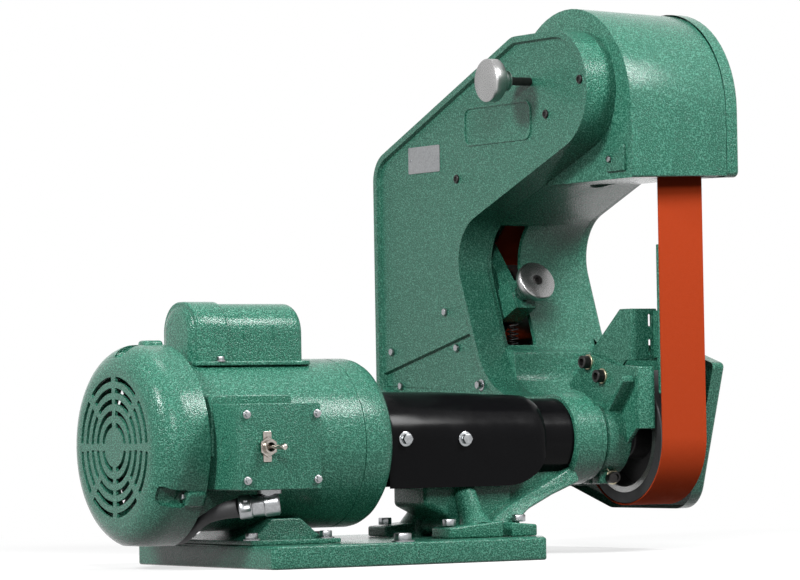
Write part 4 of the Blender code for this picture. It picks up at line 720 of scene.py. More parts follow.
cap_forms = [
    lid(30, 236.5, 27, -166, -58, 8),
    lid(31.8, 238.4, 28, -169.5, -137.5, 2.2),
    lid(31, 237.6, 27.6, -173, -144, 12),
    slab(oblong((-174, -53), (-36, 36), 8), CAP_LOW, FLANGE_TOP, "Z", 1),
]
ribs = [bar((x - 0.7, x + 0.7), (-30.9, -29), (203.5, 216.5), 0.5, 2) for x in (-120.8, -89.8)]
cap_forms = [carve(form, motor_room()) for form in cap_forms]
cast("capacitor_lid", gather(*cap_forms, *ribs), "capacitor_cover")
lid_places = [(-147.3, -33.5, FLANGE_TOP), (-80, 33.5, FLANGE_TOP)]
screws("lid_screws", lid_places, UP, hex_head(6, 3, 4.4))

# %% [markdown]
# Terminal box: a folded box on the motor's front with a thick cover plate, a toggle switch and
# four screws. A faint ring marks the knock-out in its left side.

# %% Terminal box and switch
BOX_X = (-184, -101)
BOX_Z = (70.5, 146)
PLATE = -128.6
SWITCH_X, SWITCH_Z = -156, 108
box_form = carve(bar(BOX_X, (-126, -55), BOX_Z, 1.6), motor_room())
knock_out = lathe([(-0.2, 9.6), (0.5, 9.9), (0.5, 10.6), (-0.2, 10.9)], 48)
aim(knock_out, (BOX_X[0], -106, 107.5), LEFT)
pad_corners = [(-186, 100, 0), (-186, 154, 5), (-104, 154, 5), (-104, 100, 0)]
box_pad = carve(slab(pad_corners, -84, -56, "Y", 1.4), motor_room())
cast("switch_box", gather(box_form, box_pad, knock_out), "terminal_box")
cast("switch_cover", slab(oblong(BOX_X, BOX_Z, 2), PLATE, -126.2, "Y", 0.8), "terminal_box_cover")
plate_places = [(x, PLATE, z) for x in (-176, -105) for z in (79, 136.5)]
screws("cover_screws", plate_places, FRONT, hex_head(5, 2.6, 3.6), steel)
switch_tag = slab(oblong((-160.2, -151.8), (95, 121.5), 1.2), -129.8, -128.7, "Y", 0.3, 2)
tag_hole = aim(lathe(drum(-4, 4, 6.1), 32), (SWITCH_X, -129.2, SWITCH_Z), FRONT)
bush_nut = lathe([(0, 6.1), (0, 8.6), (0.6, 9), (2.6, 9), (3.2, 8.4), (3.2, 6.1)], 6)
aim(bush_nut, (SWITCH_X, -129.8, SWITCH_Z), FRONT)
piece("switch_hardware", gather(carve(switch_tag, tag_hole), bush_nut), nickel, "base")
bat_profile = [
    (-3.4, 0), (-2.4, 2.2), (0, 3.2), (2.2, 2.5), (4, 1.7), (9, 1.8), (15, 2.3),
    (19, 2.9), (20.8, 2.8), (21.8, 1.9), (22.2, 0),
]
lean = radians(14)
bat = aim(lathe(bat_profile, 32), (SWITCH_X, -131.6, SWITCH_Z), (sin(lean), -cos(lean), 0))
piece("switch_bat", bat, nickel, "switch", ["toggle_lever"])

# %% [markdown]
# Cord. A round three-core lead leaves the metal connector under the box, lies over the base,
# drops behind it and ends in a tied coil behind the machine. The photograph shows only its
# first stretch. The route repeats the CAD's points, the tube is a curve with a round bevel,
# and a tapered rubber sleeve covers its first 30 mm.

# %% Cord connector
CORD_RADIUS = 5
mouth = Vector((-163, -90, 55))
elbow = Vector((-140, -104, 58))
heading = (mouth - elbow).normalized()
reach = (mouth - elbow).length
body_profile = [
    (-9, 0), (-9, 9.5), (-7.5, 11), (4, 11), (5, 10), (reach - 12, 9.4),
    (reach - 11, 10.6), (reach - 1, 10.6), (reach, 9.6), (reach, 5.4), (reach - 12, 5.4),
    (reach - 12, 0),
]
connector = aim(lathe(body_profile, 40), elbow, heading)
nipple_profile = [(0, 0), (0, 8.4), (9, 8.4), (9, 11), (12.2, 11), (12.2, 0)]
nipple = aim(lathe(nipple_profile, 40), elbow, UP)
aside = heading.cross(Vector(UP)).normalized() * 12
saddle_middle = elbow + heading * (reach - 6)
ear_places = [saddle_middle - aside, saddle_middle + aside]
clamp_ears = [aim(bar((-4.5, 4.5), (-4, 4), (-3.6, 3.6), 0.8, 2), place, heading) for place in ear_places]
piece("cord_connector", gather(connector, nipple, *clamp_ears), steel, "base", ["cord_clamp"])
screws("connector_screws", [place + Vector((0, 0, 3.4)) for place in ear_places], UP, hex_head(5, 2.6))

# %% Cord route
COIL_X, COIL_Y = 24, 213
COIL_RADIUS = 55
COIL_PITCH = 10.6
COIL_TURNS = 5
COIL_REST = 6.4
BEND_RADIUS = 50
BEND_ANGLE = radians(56.4)
base_rest = BASE_TOP + CORD_RADIUS + 0.8
coil_layer = (COIL_TURNS - 0.5) / 2
coil_start = COIL_RADIUS + COIL_PITCH * coil_layer / 2
entry_y = COIL_Y + coil_start
bend_x = COIL_X - 20.4
knots = [
    mouth, (-174, -78, 51.5), (-181, -60, 44.5), (-182, -40, 35.5), (-179, -18, 28.2),
    (-172, 5, base_rest), (-163, 32, base_rest), (-155, 60, base_rest),
    (-148, 82, base_rest), (-139.5, 101, base_rest), (-129, 120, base_rest),
    (-117.5, 138, base_rest),
]


def ease(share):
    """A smooth step from 0 to 1."""
    return share * share * (3 - 2 * share)


def bend_point(angle):
    """A point of the bend into the coil; angle 0 is where the coil starts."""
    return Vector((bend_x - BEND_RADIUS * sin(angle), entry_y - BEND_RADIUS * (1 - cos(angle)), COIL_REST))


edge_point = Vector(knots[-1])
lead_point = bend_point(BEND_ANGLE)
for step in range(1, 7):
    knot = edge_point.lerp(lead_point, step / 6)
    knot.z = edge_point.z + (COIL_REST - edge_point.z) * ease(min(1, step / 4))
    knots.append(knot)
knots += [bend_point(BEND_ANGLE * (1 - step / 4)) for step in range(1, 5)]


def smooth_path(points, spacing):
    """Points of a smooth curve through knots, about a spacing apart."""
    route = []
    padded = [2 * Vector(points[0]) - Vector(points[1])]
    padded += [Vector(point) for point in points]
    padded.append(2 * padded[-1] - padded[-2])
    for before, start, end, after in zip(padded, padded[1:], padded[2:], padded[3:]):
        steps = max(1, round((end - start).length / spacing))
        for step in range(steps):
            t = step / steps
            lead = (end - before) / 2
            lag = (after - start) / 2
            bend = start * (2 * t**3 - 3 * t**2 + 1) + lead * (t**3 - 2 * t**2 + t)
            route.append(bend + end * (3 * t**2 - 2 * t**3) + lag * (t**3 - t**2))
    route.append(padded[-2])
    return route


def coil_point(turns):
    """In along the floor, up in the half turn at the middle, out on top."""
    inner = coil_start - COIL_PITCH * coil_layer
    if turns < coil_layer:
        radius = coil_start - COIL_PITCH * turns
        lift = 0
    elif turns < coil_layer + 0.5:
        share = (turns - coil_layer) / 0.5
        radius = inner - 2 * sin(pi * share)
        lift = COIL_PITCH * ease(share)
    else:
        radius = inner + COIL_PITCH * (turns - coil_layer - 0.5)
        lift = COIL_PITCH
    angle = pi / 2 - 2 * pi * turns
    return Vector((COIL_X + radius * cos(angle), COIL_Y + radius * sin(angle), COIL_REST + lift))


route = smooth_path(knots, 8)
route += [coil_point(step / 36) for step in range(int(COIL_TURNS * 36) + 1)]
tail_start = route[-1]
for step in range(1, 8):
    share = step / 7
    fall = ease(max(0, (share - 0.45) / 0.55))
    route.append(tail_start + Vector((60 * share, 0, -2.5 * fall)))


# %% Cord and strain relief
def wire(name, points, radius, finish, body, sides):
    """A round tube along points, as a curve."""
    curve = bpy.data.curves.new(name, "CURVE")
    curve.dimensions = "3D"
    curve.bevel_depth = radius * MM
    curve.bevel_resolution = sides
    curve.use_fill_caps = True
    spline = curve.splines.new("POLY")
    spline.points.add(len(points) - 1)
    for knot, point in zip(spline.points, points):
        knot.co = (*(Vector(point) * MM), 1)
    spline.use_smooth = True
    curve.materials.append(finish)
    item = show(name, curve)
    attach(item, body)
    return item


RELIEF_LENGTH = 30
RELIEF_RADIUS = 8.8
RELIEF_TAPER = 3.3
relief_path = smooth_path(knots[:4], 2)
relief_path = [point for point in relief_path if (point - mouth).length < RELIEF_LENGTH]
last = len(relief_path) - 1
relief_profile = [(order, RELIEF_RADIUS - RELIEF_TAPER * order / last) for order in range(last + 1)]
relief_form = lathe([(0, 0), *relief_profile, (last, 0)], 32)
for corner in relief_form.verts:
    order = round(corner.co.x)
    step = min(order, last - 1)
    along = relief_path[step + 1] - relief_path[step]
    swing = Vector(RIGHT).rotation_difference(along.normalized())
    corner.co = relief_path[order] + swing @ Vector((0, corner.co.y, corner.co.z))
piece("cord_strain_relief", relief_form, rubber, "base")
cord = wire("power_lead", route, CORD_RADIUS, rubber, "base", 5)
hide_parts("power_cord", "power_cord_coil")

# %% [markdown]
# Main frame: one iron casting. The C-shaped arm is a slab whose left face is inset and pushed in,
# which leaves a raised rim; below, a half-pipe trough, a keel, a curved gusset and four feet
# carry it on the base. The ring at its foot holds the spindle tube.

# %% Arm
ARM_LEFT = 232
ARM_RIGHT = 265
PANEL_DEPTH = 4
RING = 40
ring_top = AXIS_Z + RING
arm_corners = [
    (320, 157, 8), (320, 389, 30), (62, 495, 30), (-64, 495, 57), (-64, 398.6, 56),
    (176.4, 308.5, 45), (113.3, ring_top, 70), (-RING, ring_top, RING), (-RING, 56.9, RING - 1),
]
arm_form = slab(arm_corners, ARM_LEFT, ARM_RIGHT, "X", 0)
panel = min(arm_form.faces, key=lambda face: face.calc_center_median().x)
sink(arm_form, panel, PANEL_DEPTH, 6, 1.4)
split = bmesh.ops.bisect_plane(
    arm_form, geom=[panel, *panel.edges, *panel.verts], plane_co=(0, 313, 176),
    plane_no=(0, 37, 163),
)
flats = [item for item in split["geom"] if isinstance(item, bmesh.types.BMFace)]
low_panel = min(flats, key=lambda face: face.calc_center_median().z)
arm_form.normal_update()
sink(arm_form, low_panel, PANEL_DEPTH, 1.2)
round_edges(arm_form, 1.9, 4, 50)

# %% Ring, trough, gusset and feet
FOOT = 20.8
ring_profile = [(229, 33.6), (229, 41.6), (231.4, 43.9), (256.4, 43.9), (258.8, 41.6), (258.8, 33.6)]
trough = turned(sleeve(68, 165, 33.6, 38, 1))
everything = trough.verts[:] + trough.edges[:] + trough.faces[:]
bmesh.ops.bisect_plane(
    trough, geom=everything, plane_co=(0, 0, AXIS_Z - 14), plane_no=UP, clear_outer=True
)
bmesh.ops.holes_fill(trough, edges=[edge for edge in trough.edges if edge.is_boundary], sides=0)
gusset_outline = [
    (232, 84, 0), (240, 69, 3), (204, 57, 40), (172, 44.5, 30), (157.5, 35, 8),
    (156, 21, 0), (119, 21, 0), (130, 37, 12), (150, 47.5, 40), (196, 66, 40),
]
gusset = slab(gusset_outline, -31, 31, "Y", 0)
for vert in gusset.verts:
    drop = min(1, max(0, (66 - vert.co.z) / 45))
    vert.co.y *= 1 + 0.92 * drop
round_edges(gusset, 3.4, 4, 50)
web_outline = [
    (140, 24, 0), (140, 82, 0), (232, 82, 0), (196, 62, 40), (150, 42, 30),
]
inner_web = slab(web_outline, -22, 22, "Y", 1)
keel_outline = [
    (69, 74, 0), (69, 50, 6), (98, 36, 10), (98, FOOT + 3, 0), (164, FOOT + 3, 0),
    (164, 74, 0),
]
keel = slab(keel_outline, -30, 30, "Y", 7, 5)
frame_forms = [arm_form, turned(ring_profile), trough, gusset, inner_web, keel]
left_foot = [(67.5, FOOT, 0), (67.5, FOOT + 9.5, 2), (126, FOOT + 15, 2), (126, FOOT, 0)]
right_foot = [(136, FOOT, 0), (136, FOOT + 13, 2), (163, FOOT + 10.5, 2), (163, FOOT, 0)]
leg_profile = [
    (-4, 0), (-4, 17), (2, 15.2), (8, 13.2), (16, 11.6), (30, 10.4), (52, 9.6), (56, 8),
    (57, 0),
]
for sign in (-1, 1):
    near, far = sorted((40 * sign, 72 * sign))
    frame_forms += [slab(outline, near, far, "Y", 1.8) for outline in (left_foot, right_foot)]
    leg_foot = Vector((109, 51 * sign, FOOT + 9))
    leg_top = Vector((109, 22 * sign, 80))
    frame_forms.append(aim(lathe(leg_profile, 40), leg_foot, leg_top - leg_foot))
cast("frame_casting", gather(*frame_forms), "main_frame")
pedestal_places = [(x, y, z) for x, z in ((77, 31.7), (153, 33.9)) for y in (-56, 56)]
screws("pedestal_bolts", pedestal_places, UP, hex_head(11, 6.5))

# %% Arm details: screws, studs, a blank plate and a raised frame
PANEL = ARM_LEFT + PANEL_DEPTH
LOW_PANEL = PANEL + PANEL_DEPTH
socket_places = [(PANEL, -47.6, 446.1), (PANEL, 10.5, 417.3), (PANEL, 169, 364.5)]
black_screws("arm_socket_screws", socket_places, LEFT, 4.2, 2)
stud_places = [(PANEL, 293.7, 197.5), (PANEL, 193.2, 234.7), (LOW_PANEL, 179, 199), (LOW_PANEL, 284, 163.1)]
screws("arm_studs", stud_places, LEFT, hex_head(6.4, 3.4))
screws("arm_bolt", [(LOW_PANEL, 137, 162)], LEFT, hex_head(7, 5, 5.5))
name_frame = flat_outline(oblong((36.5, 154.5), (395, 433.5), 11), PANEL - 1.2)
bmesh.ops.inset_region(
    name_frame, faces=name_frame.faces[:], thickness=2.4, use_even_offset=True, use_boundary=True
)
middle = max(name_frame.faces, key=lambda face: face.calc_area())
bmesh.ops.delete(name_frame, geom=[middle], context="FACES_ONLY")
cast("blank_name_frame", round_edges(pull(name_frame, (1.6, 0, 0)), 0.7, 3))
data_plate = slab(oblong((199.4, 257.3), (374, 400.4), 1.5), PANEL - 0.9, PANEL + 0.2, "X", 0.25, 2)
piece("data_plate", data_plate, steel, "base")
rivet = lathe([(-0.2, 0), (-0.2, 1.6), (0.4, 1.4), (0.8, 0.6), (0.9, 0)], 16)
screws("plate_rivets", [(PANEL - 0.8, y, 387.2) for y in (202.6, 254.1)], LEFT, rivet)

# %% [markdown]
# Coupling cover: a black steel arch over the trough. Half a turn of a long profile makes the arch,
# its two lower edges are pulled down to make the straight sides, and it gets a wall.

# %% Coupling cover and spindle tube
COVER_LOW = 67
SWEEP_LEFT = 150
COVER_RIGHT = 197
cover_profile = [
    (21, 44.6), (23, 45.6), (26, 46), (60, 45.7), (100, 45.2), (130, 44), (SWEEP_LEFT, 42.8),
    (160, 42.5), (168, 42.3), (175, 42.1), (181, 41.9), (186, 41.6), (190, 41.2), (193, 40.6),
    (195.4, 39.7), (COVER_RIGHT, 38.6),
]
cover_form = revolve([(x, radius, 0) for x, radius in cover_profile], 64, pi)
shift(cover_form, z=AXIS_Z)
low_edges = []
for edge in cover_form.edges:
    if edge.is_boundary and all(abs(vert.co.z - AXIS_Z) < 0.01 for vert in edge.verts):
        low_edges.append(edge)
sides = bmesh.ops.extrude_edge_only(cover_form, edges=low_edges)
for vert in verts_in(sides["geom"]):
    share = max(0, (vert.co.x - SWEEP_LEFT) / (COVER_RIGHT - SWEEP_LEFT))
    vert.co.z = COVER_LOW + 36 * (1 - (1 - share * share) ** 0.5)
bmesh.ops.recalc_face_normals(cover_form, faces=cover_form.faces)
bmesh.ops.solidify(cover_form, geom=cover_form.faces[:], thickness=2)
piece("coupling_hood", cover_form, black, "base", ["coupling_cover"])
screws("hood_bolts", [(37.4, -45.9, 112), (102.4, -45.2, 111)], FRONT, hex_head(9, 5, 6.8))
tube_profile = [
    (116, 20.3), (116, 33), (172, 33), (176, 38), (259, 38), (261, 36), (261, 26.6),
    (298.4, 26), (299, 25.4), (299, 20.3),
]
piece("spindle_sleeve", turned(tube_profile), black, "base", ["spindle_tube"])

# %% [markdown]
# Belt housing and door. The housing is a drafted pan: its outline is inset a little and pulled
# to the right, so the wall leans in as a casting's does. A second, smaller pan is carved out
# of it, then the mouths for the belt and the slot for the tension arm.

# %% Belt housing
HOUSING_LEFT = 265.3
HOUSING_RIGHT = 377
DRAFT = 3.5
PAD_FACE = 262.4
LATCH_Y, LATCH_Z = 60, 375
housing_corners = [
    (-88.5, 352, 3), (-88.5, 695.6, 102), (127, 440, 30), (318, 355, 28), (318, 112, 25),
    (118, 62, 30), (64, 62, 0), (64, ring_top, 0), (112, ring_top, 30), (117, 195, 5),
    (136, 198, 10), (176.4, 308.5, 45), (60, 352, 12),
]


def shrink(corners, inward):
    """The same outline moved inward all round, its radii following."""
    count = len(corners)
    spots = [Vector(corner[:2]) for corner in corners]
    area = sum(a.x * b.y - b.x * a.y for a, b in zip(spots, spots[1:] + spots[:1]))
    side = 1 if area > 0 else -1
    moved = []
    for index, (u, v, radius) in enumerate(corners):
        before = (spots[index] - spots[index - 1]).normalized()
        after = (spots[(index + 1) % count] - spots[index]).normalized()
        bend = side * (before.x * after.y - before.y * after.x)
        normals = Vector((-before.y, before.x)) + Vector((-after.y, after.x))
        step = normals * side * inward / (1 + before.dot(after))
        if radius > 0:
            radius = max(0.4, radius - inward if bend > 0 else radius + inward)
        moved.append((u + step.x, v + step.y, radius))
    return moved


def drafted(corners, left, right, first, last):
    """A block whose outline shrinks from first to last between two x places."""
    form = bmesh.new()
    rings = []
    for x, inward in ((left, first), (right, last)):
        ring = [form.verts.new((x, u, v)) for u, v in rounded(shrink(corners, inward))]
        form.faces.new(ring)
        rings.append(ring)
    near, far = rings
    for index in range(len(near)):
        form.faces.new((near[index - 1], near[index], far[index], far[index - 1]))
    return settle(form)


housing_form = drafted(housing_corners, HOUSING_LEFT, HOUSING_RIGHT, 0, DRAFT)
round_edges(housing_form, 1.6, 3)
pan_room = drafted(housing_corners, HOUSING_LEFT + 4, HOUSING_RIGHT + 4, 5, 5 + DRAFT)
lower_mouth = bar((269.3, 385), (59, 73), (67, 144.5), 1)
belt_mouth = bar((308.4, 367.9), (-82.5, -56.5), (347, 364), 1)
crank_slot = bar((271.3, 306), (100, 190), (200.5, 318), 2)
drain = aim(lathe(drum(-8, 8, 13), 48), (331, 54, 355), UP)
housing_form = carve(housing_form, pan_room, lower_mouth, belt_mouth, crank_slot, drain)
pad = bar((PAD_FACE, 267), (-79, -49), (359, 384), 1)
latch_post = turned([(267, 4.7), (267, 7), (376.5, 7), (376.5, 4.7)], 40, LATCH_Y, LATCH_Z)
lugs = [bar((267, 288), (-24.2, -0.2), span, 1) for span in ((410, 418.7), (455.3, 464))]
cast("housing_casting", gather(housing_form, pad, latch_post, *lugs), "belt_housing")
screws("pad_screw", [(PAD_FACE, -56, 371)], LEFT, hex_head(5.4, 2.4), steel)

# %% Door
DOOR_LEFT = 377.3
DOOR_RIGHT = 392
HINGE = (386, 327, 0)
door_corners = [
    (-85, 354, 6), (-85, 690.6, 98.5), (126.4, 436.5, 26.5), (320, 352.7, 28), (320, 100, 25),
    (118, 39.5, 30), (-13, 39.5, 30), (-57, 178, 5), (8, 197, 20), (143, 200, 25),
    (185, 313, 45), (67, 359, 12),
]
door_form = slab(door_corners, DOOR_LEFT, DOOR_RIGHT, "X", 0)
inside = min(door_form.faces, key=lambda face: face.calc_center_median().x)
sink(door_form, inside, 12.2, 3)
round_edges(door_form, 3.6, 5, 40, lambda edge: min(vert.co.x for vert in edge.verts) > DOOR_RIGHT - 0.1)
eyes = []
for low, high in ((155, 212), (288, 345)):
    eyes.append(aim(lathe(sleeve(low, high, 2.8, 5, 0.6), 40), HINGE, UP))
    eyes.append(bar((382, 387.5), (317, 326), (low + 0.5, high - 0.5), 0.8))
cast("door_casting", gather(door_form, *eyes), "side_door", body="door")
latch_profile = [
    (362, 0), (362, 3), (392.3, 3), (392.3, 9), (395, 13.2), (396, 14), (404.6, 14),
    (406, 12.8), (406.5, 11), (406.5, 0),
]
latch_form = turned(latch_profile, 48, LATCH_Y, LATCH_Z)
piece("latch_knob", latch_form, plastic, "door", ["door_latch_knob"])
knuckle = aim(lathe(sleeve(213, 287, 0, 5, 0.6), 40), HINGE, UP)
pin_profile = [(150, 0), (150, 2.1), (150.5, 2.5), (349.5, 2.5), (350, 2.1), (350, 0)]
hinge_pin = aim(lathe(pin_profile, 32), HINGE, UP)
leaf_corners = [
    (345, 315.8, 0.6), (373, 315.8, 0), (376, 320.6, 0), (386, 324, 0), (386, 330, 0),
    (372, 319.8, 0), (371, 318.3, 0), (345, 318.3, 0.6),
]
leaf = slab(leaf_corners, 213, 287, "Z", 0.4, 2)
piece("hinge", gather(knuckle, hinge_pin, leaf), steel, "base", ["door_hinge"])
black_screws("hinge_screws", [(356, 318.3, z) for z in (224, 250, 276)], BACK, 4, 2.4)

# %% [markdown]
# Belt. Three wheels carry it, so its shape is the tight loop round three discs: exactly their
# convex hull. The hull operator gives the outside; the flat ends are taken off and the band
# gets the thickness of abrasive cloth.

# %% Belt
BELT_LEFT = 311.1
BELT_RIGHT = 361.9
BELT_MIDDLE = 336.5
BELT_THICK = 1.2
WHEEL_GAP = 0.3
WHEELS = [(0, AXIS_Z, CONTACT_RADIUS), (IDLER_Y, IDLER_Z, IDLER_RADIUS), (TOP_Y, TOP_Z, TOP_RADIUS)]
belt_form = bmesh.new()
for y, z, radius in WHEELS:
    outside = radius + WHEEL_GAP + BELT_THICK
    for x in (BELT_LEFT, BELT_RIGHT):
        place = Matrix.Translation((x, y, z)) @ Matrix.Rotation(pi / 2, 4, "Y")
        bmesh.ops.create_circle(belt_form, cap_ends=False, segments=180, radius=outside, matrix=place)
hull = bmesh.ops.convex_hull(belt_form, input=belt_form.verts[:])
spare = set(verts_in(hull["geom_interior"] + hull["geom_unused"]))
bmesh.ops.delete(belt_form, geom=list(spare), context="VERTS")
ends = [face for face in belt_form.faces if abs(face.normal.x) > 0.9]
bmesh.ops.delete(belt_form, geom=ends, context="FACES")
wires = [edge for edge in belt_form.edges if not edge.link_faces]
bmesh.ops.delete(belt_form, geom=wires, context="EDGES")
bmesh.ops.recalc_face_normals(belt_form, faces=belt_form.faces)
bmesh.ops.solidify(belt_form, geom=belt_form.faces[:], thickness=BELT_THICK)
belt_bends = ("tracker", (BELT_MIDDLE * MM, 0.0, 0.325), (BELT_MIDDLE * MM, 0.0, 0.4))
piece("sanding_belt", belt_form, cloth, "base", ["abrasive_belt"], bends=belt_bends)

# %% [markdown]
# Wheels. The contact wheel is a dark cast hub with a bright machined rim and a rubber tyre; the
# idler and the top wheel are crowned aluminium. All are turned from their half sections.

# %% Wheels
def mirrored(half, *middle):
    """A profile from its left half, as (distance from the belt's middle, radius), and its middle."""
    left = [(BELT_MIDDLE - x, radius) for x, radius in half]
    right = [(BELT_MIDDLE + x, radius) for x, radius in reversed(half)]
    return [*left, *middle, *right]


hub_half = [(25.4, 10.3), (25.4, 19), (24.4, 20), (6, 21), (6, 46), (23.4, 47.2)]
piece("contact_hub", turned(mirrored(hub_half)), dark_hub, "drive", ["contact_wheel_hub"])
rim_half = [(25.4, 47.5), (25.4, 52.8)]
piece("contact_rim", turned(mirrored(rim_half)), wheel_metal, "drive")
tyre_form = turned(sleeve(BELT_LEFT, BELT_RIGHT, 53.1, CONTACT_RADIUS, 1), 128)
piece("contact_tyre", tyre_form, rubber, "drive", ["contact_wheel_tyre"])
nut_form = aim(hex_head(30, 9.6), (BELT_RIGHT + 0.4, 0, AXIS_Z), RIGHT)
piece("spindle_nut", nut_form, zinc, "drive", ["wheel_nut"])


def crowned(radius, crown, y, z):
    """A crowned wheel on its bearing's seat."""
    seat = 17.3
    half = [
        (21.4, seat), (21.4, seat + 4), (5, (seat + radius) / 2), (24.6, radius - 5), (25.4, radius - 4),
        (25.4, radius - crown - 0.6), (24.8, radius - crown),
    ]
    return turned(mirrored(half, (BELT_MIDDLE, radius)), 96, y, z)


top_form = crowned(TOP_RADIUS, 0.8, TOP_Y, TOP_Z)
piece("top_pulley_wheel", top_form, top_metal, "top_pulley", ["top_wheel"])
idler_form = crowned(IDLER_RADIUS, 0.4, IDLER_Y, IDLER_Z)
piece("idler_pulley", idler_form, idler_metal, "idler", ["idler_wheel"])

# %% [markdown]
# Knobs. Both hand knobs are turned from bar: a disc, a hub and a chamfer at each edge. The lift
# knob on the tension arm has the black head of its screw sunk in the middle.

# %% Knobs, spring
track_profile = [
    (TRACK_LEFT, 0), (TRACK_LEFT, 18.6), (185.8, 19.8), (186.6, 20.5), (196, 20.5), (197.2, 19.6),
    (197.6, 18.6), (198.5, 11.2), (199.4, 10.6), (209.4, 10), (210, 9.4), (210, 4.3), (190.7, 4.3),
    (190.7, 0),
]
track_form = turned(track_profile, 96, TRACK_Y, TRACK_Z)
piece("tracking_wheel_knob", track_form, knob_metal, "tracking_knob", ["tracking_knob"])
lift_profile = [
    (-11, 0), (-11, 5), (0.3, 5), (0.3, 8.2), (0.8, 8.6), (12, 9.2), (19.4, 10.6), (20.4, 12),
    (20.9, 17.8), (22, 19.4), (23, 19.8), (28.6, 19.8), (29.8, 19.2), (30.5, 18), (30.5, 5.2),
    (27.5, 4.8), (27.5, 0),
]
lift_form = aim(lathe(lift_profile), LIFT_SEAT, LIFT_AXIS)
piece("lift_knob", lift_form, lift_metal, "tensioner", ["tension_knob"])
lift_screw = LIFT_SEAT + LIFT_AXIS * 27.4
black_screws("lift_knob_screw", [lift_screw], LIFT_AXIS, 4.6, 3.4, "tensioner")
SPRING_TURNS = 7
SPRING_STEPS = 24
SPRING_RADIUS = 5
spring_points = []
for step in range(SPRING_TURNS * SPRING_STEPS + 1):
    turns = step / SPRING_STEPS
    angle = 2 * pi * turns
    height = 189.5 + 32 * turns / SPRING_TURNS
    spring_points.append((287 + SPRING_RADIUS * cos(angle), 152 + SPRING_RADIUS * sin(angle), height))
spring = wire("pull_spring", spring_points, 0.9, oxide, "base", 3)
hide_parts("tension_spring")

# %% [markdown]
# Platen. A split collar clamps on the spindle sleeve's nose and carries a ribbed web; a bent plate
# is screwed to the web, and the platen itself stands right behind the belt.

# %% Platen, bracket and clamp
NOSE = 26.6
COLLAR = 36
CLAMP_X = 287
WEB_LEFT = 290
clamp_low = AXIS_Z - COLLAR
clamp_high = clamp_low + 6
collar = turned(sleeve(270, 297, NOSE, COLLAR, 1.4))
clamp_lugs = [bar((273, 294), y, (clamp_low - 8, clamp_high), 1.6) for y in ((-15, -1.2), (1.2, 15))]
web_corners = [
    (24, 124, 4), (40, 172, 6), (34, 192, 6), (2, 184, 0), (-20, 178, 4),
    (-52, 176, 3), (-52, 118, 3), (-22, 92, 6),
]
web = carve(slab(web_corners, WEB_LEFT, 295), turned(drum(260, 320, NOSE)))
web_pad = bar((WEB_LEFT, 309), (-57, -51), (117, 176), 1.4)
rib_corners = [(-18, 138, 2), (-51.5, 170, 2), (-51.5, 162, 2), (-24, 132, 2)]
rib = slab(rib_corners, 276, 293, "X", 1.6)
cast("clamp_casting", gather(collar, *clamp_lugs, web, web_pad, rib), "platen_clamp", body="platen")
clamp_z = clamp_low - 1.6
screws("clamp_washer", [(CLAMP_X, -15, clamp_z)], FRONT, thick_washer(7.2), brass_zinc, "platen")
black_screws("clamp_screw_head", [(CLAMP_X, -16.6, clamp_z)], FRONT, 5.2, 5.5, "platen")
bracket_corners = [
    (-36, 231, 2), (-20, 231, 3), (72, 158, 4), (40, 152, 6), (-6, 162, 4),
    (-28, 182, 4), (-36, 182, 0),
]
bracket_side = slab(bracket_corners, 295.3, 298.3, "X", 0.7)
bracket_flange = bar((295.3, 325), (-39, -36), (182, 231), 0.8)
slot_cutters = [bar((315, 319), (-45, -30), span, 1.4) for span in ((186, 202), (214, 226))]
bracket_flange = carve(bracket_flange, *slot_cutters)
cast("bent_bracket", gather(bracket_side, bracket_flange), "platen_bracket", body="platen")
platen_plate = bar((311.6, 361.4), (-62.3, -58.3), (150, 291), 0.8)
platen_back = bar((320.2, 345), (-60.3, -39.2), (184, 229), 0.8)
cast("platen_bar", gather(platen_plate, platen_back), "platen", body="platen")
BRACKET_HOLES = ((25.2, 181.7), (2.1, 167.9))
washer_places = [(WEB_LEFT, *hole) for hole in BRACKET_HOLES]
screws("bracket_washers", washer_places, LEFT, thick_washer(7.4), brass_zinc, "platen")
head_places = [(WEB_LEFT - 1.6, *hole) for hole in BRACKET_HOLES]
black_screws("bracket_screws", head_places, LEFT, 6.2, 7, "platen")

# %% [markdown]
# Studio. A pale floor and a pale world stand behind the machine. A key lamp is high at the right
# front, two smaller lamps are on the left, and a weak one is overhead. The camera sees a bright
# floor; the machine itself gets little light from it, so its paint renders about as it is written.

# %% Floor and world
WHITE = (1, 1, 1, 1)


def mixed(tree, factor, first, second):
    """A mix of two shader nodes, which is the first at 0 and the second at 1."""
    node = add(tree, "MixShader", Fac=factor)
    tree.links.new(first.outputs[0], node.inputs[1])
    tree.links.new(second.outputs[0], node.inputs[2])
    return node


def backdrop_switch(tree):
    """One where a camera, mirror or glass ray looks, and zero for lighting rays."""
    path = add(tree, "LightPath")
    seen = path.outputs["Is Camera Ray"]
    for ray in ("Is Glossy Ray", "Is Transmission Ray"):
        either = add(tree, "Math", operation="MAXIMUM")
        tree.links.new(seen, either.inputs[0])
        tree.links.new(path.outputs[ray], either.inputs[1])
        seen = either.outputs["Value"]
    return seen


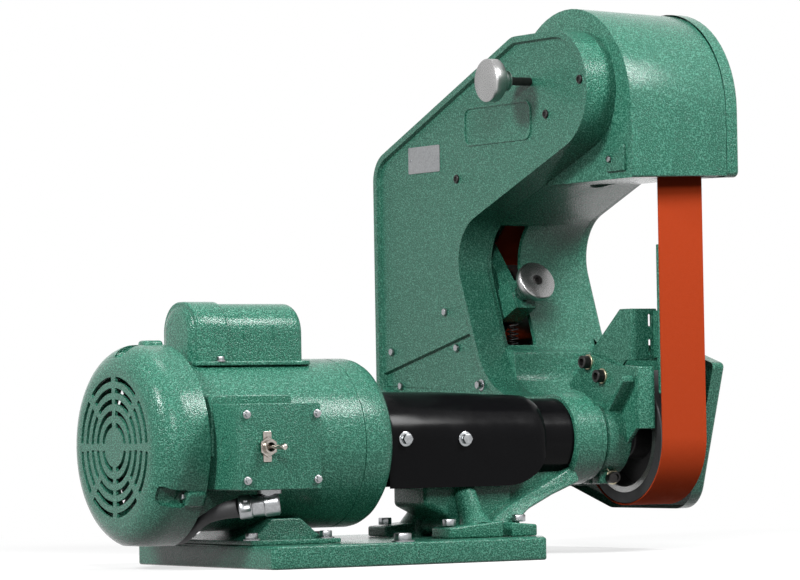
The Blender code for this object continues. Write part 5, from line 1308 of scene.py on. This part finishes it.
floor_form = bmesh.new()
bmesh.ops.create_grid(floor_form, x_segments=2, y_segments=2, size=12)
floor_mesh = into_mesh(floor_form, "floor")
floor = show("floor", floor_mesh)
floor_finish = bpy.data.materials.new("pale_floor")
floor_finish.use_nodes = True
tree = floor_finish.node_tree
tree.nodes.clear()
matt = add(tree, "BsdfDiffuse", Color=(0.06, 0.06, 0.06, 1))
pale = add(tree, "BsdfDiffuse", Color=(0.95, 0.95, 0.95, 1))
glow = add(tree, "Emission", Color=WHITE, Strength=1)
bright = mixed(tree, 0.3, glow, pale)
spot = add(tree, "Mapping", Scale=(0.8, 0.8, 0.8), Vector=object_place(tree))
fade = add(tree, "TexGradient", gradient_type="SPHERICAL", Vector=spot.outputs["Vector"])
near_floor = ramp(tree, fade.outputs["Fac"], [(0.15, (0, 0, 0)), (0.5, (1, 1, 1))])
melting = mixed(tree, near_floor, glow, bright)
choice = mixed(tree, backdrop_switch(tree), matt, melting)
add(tree, "OutputMaterial", Surface=choice.outputs["Shader"])
floor_mesh.materials.append(floor_finish)
floor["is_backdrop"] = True

world = bpy.data.worlds.new("studio")
bpy.context.scene.world = world
world.use_nodes = True
tree = world.node_tree
tree.nodes.clear()
soft = add(tree, "Background", Color=WHITE, Strength=0.05)
white = add(tree, "Background", Color=WHITE, Strength=1)
either = mixed(tree, backdrop_switch(tree), soft, white)
add(tree, "OutputWorld", Surface=either.outputs["Shader"])


# %% Lamps
def softbox(name, place, size, power):
    """An area lamp turned to the middle of the machine."""
    data = bpy.data.lights.new(name, "AREA")
    data.shape = "RECTANGLE"
    data.size, data.size_y = size
    data.energy = power
    facing = (MIDDLE - Vector(place)).to_track_quat("-Z", "Y")
    show(name, data).matrix_world = Matrix.Translation(place) @ facing.to_matrix().to_4x4()


MIDDLE = Vector((0.08, 0.08, 0.22))
softbox("key", (1, -1.35, 1.65), (0.5, 0.7), 58)
softbox("left_side", (-1.75, -0.35, 1.3), (0.4, 0.4), 46)
softbox("left_front", (-1.2, -2, 1.2), (0.4, 0.4), 34)
softbox("top", (0.1, 0.3, 2.2), (0.5, 0.5), 12)
bpy.context.scene.view_settings.view_transform = "Standard"
print("lights", len(bpy.data.lights))

# %% Finish
low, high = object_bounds()
print("visual box", [round(value, 4) for value in (*low, *high)])
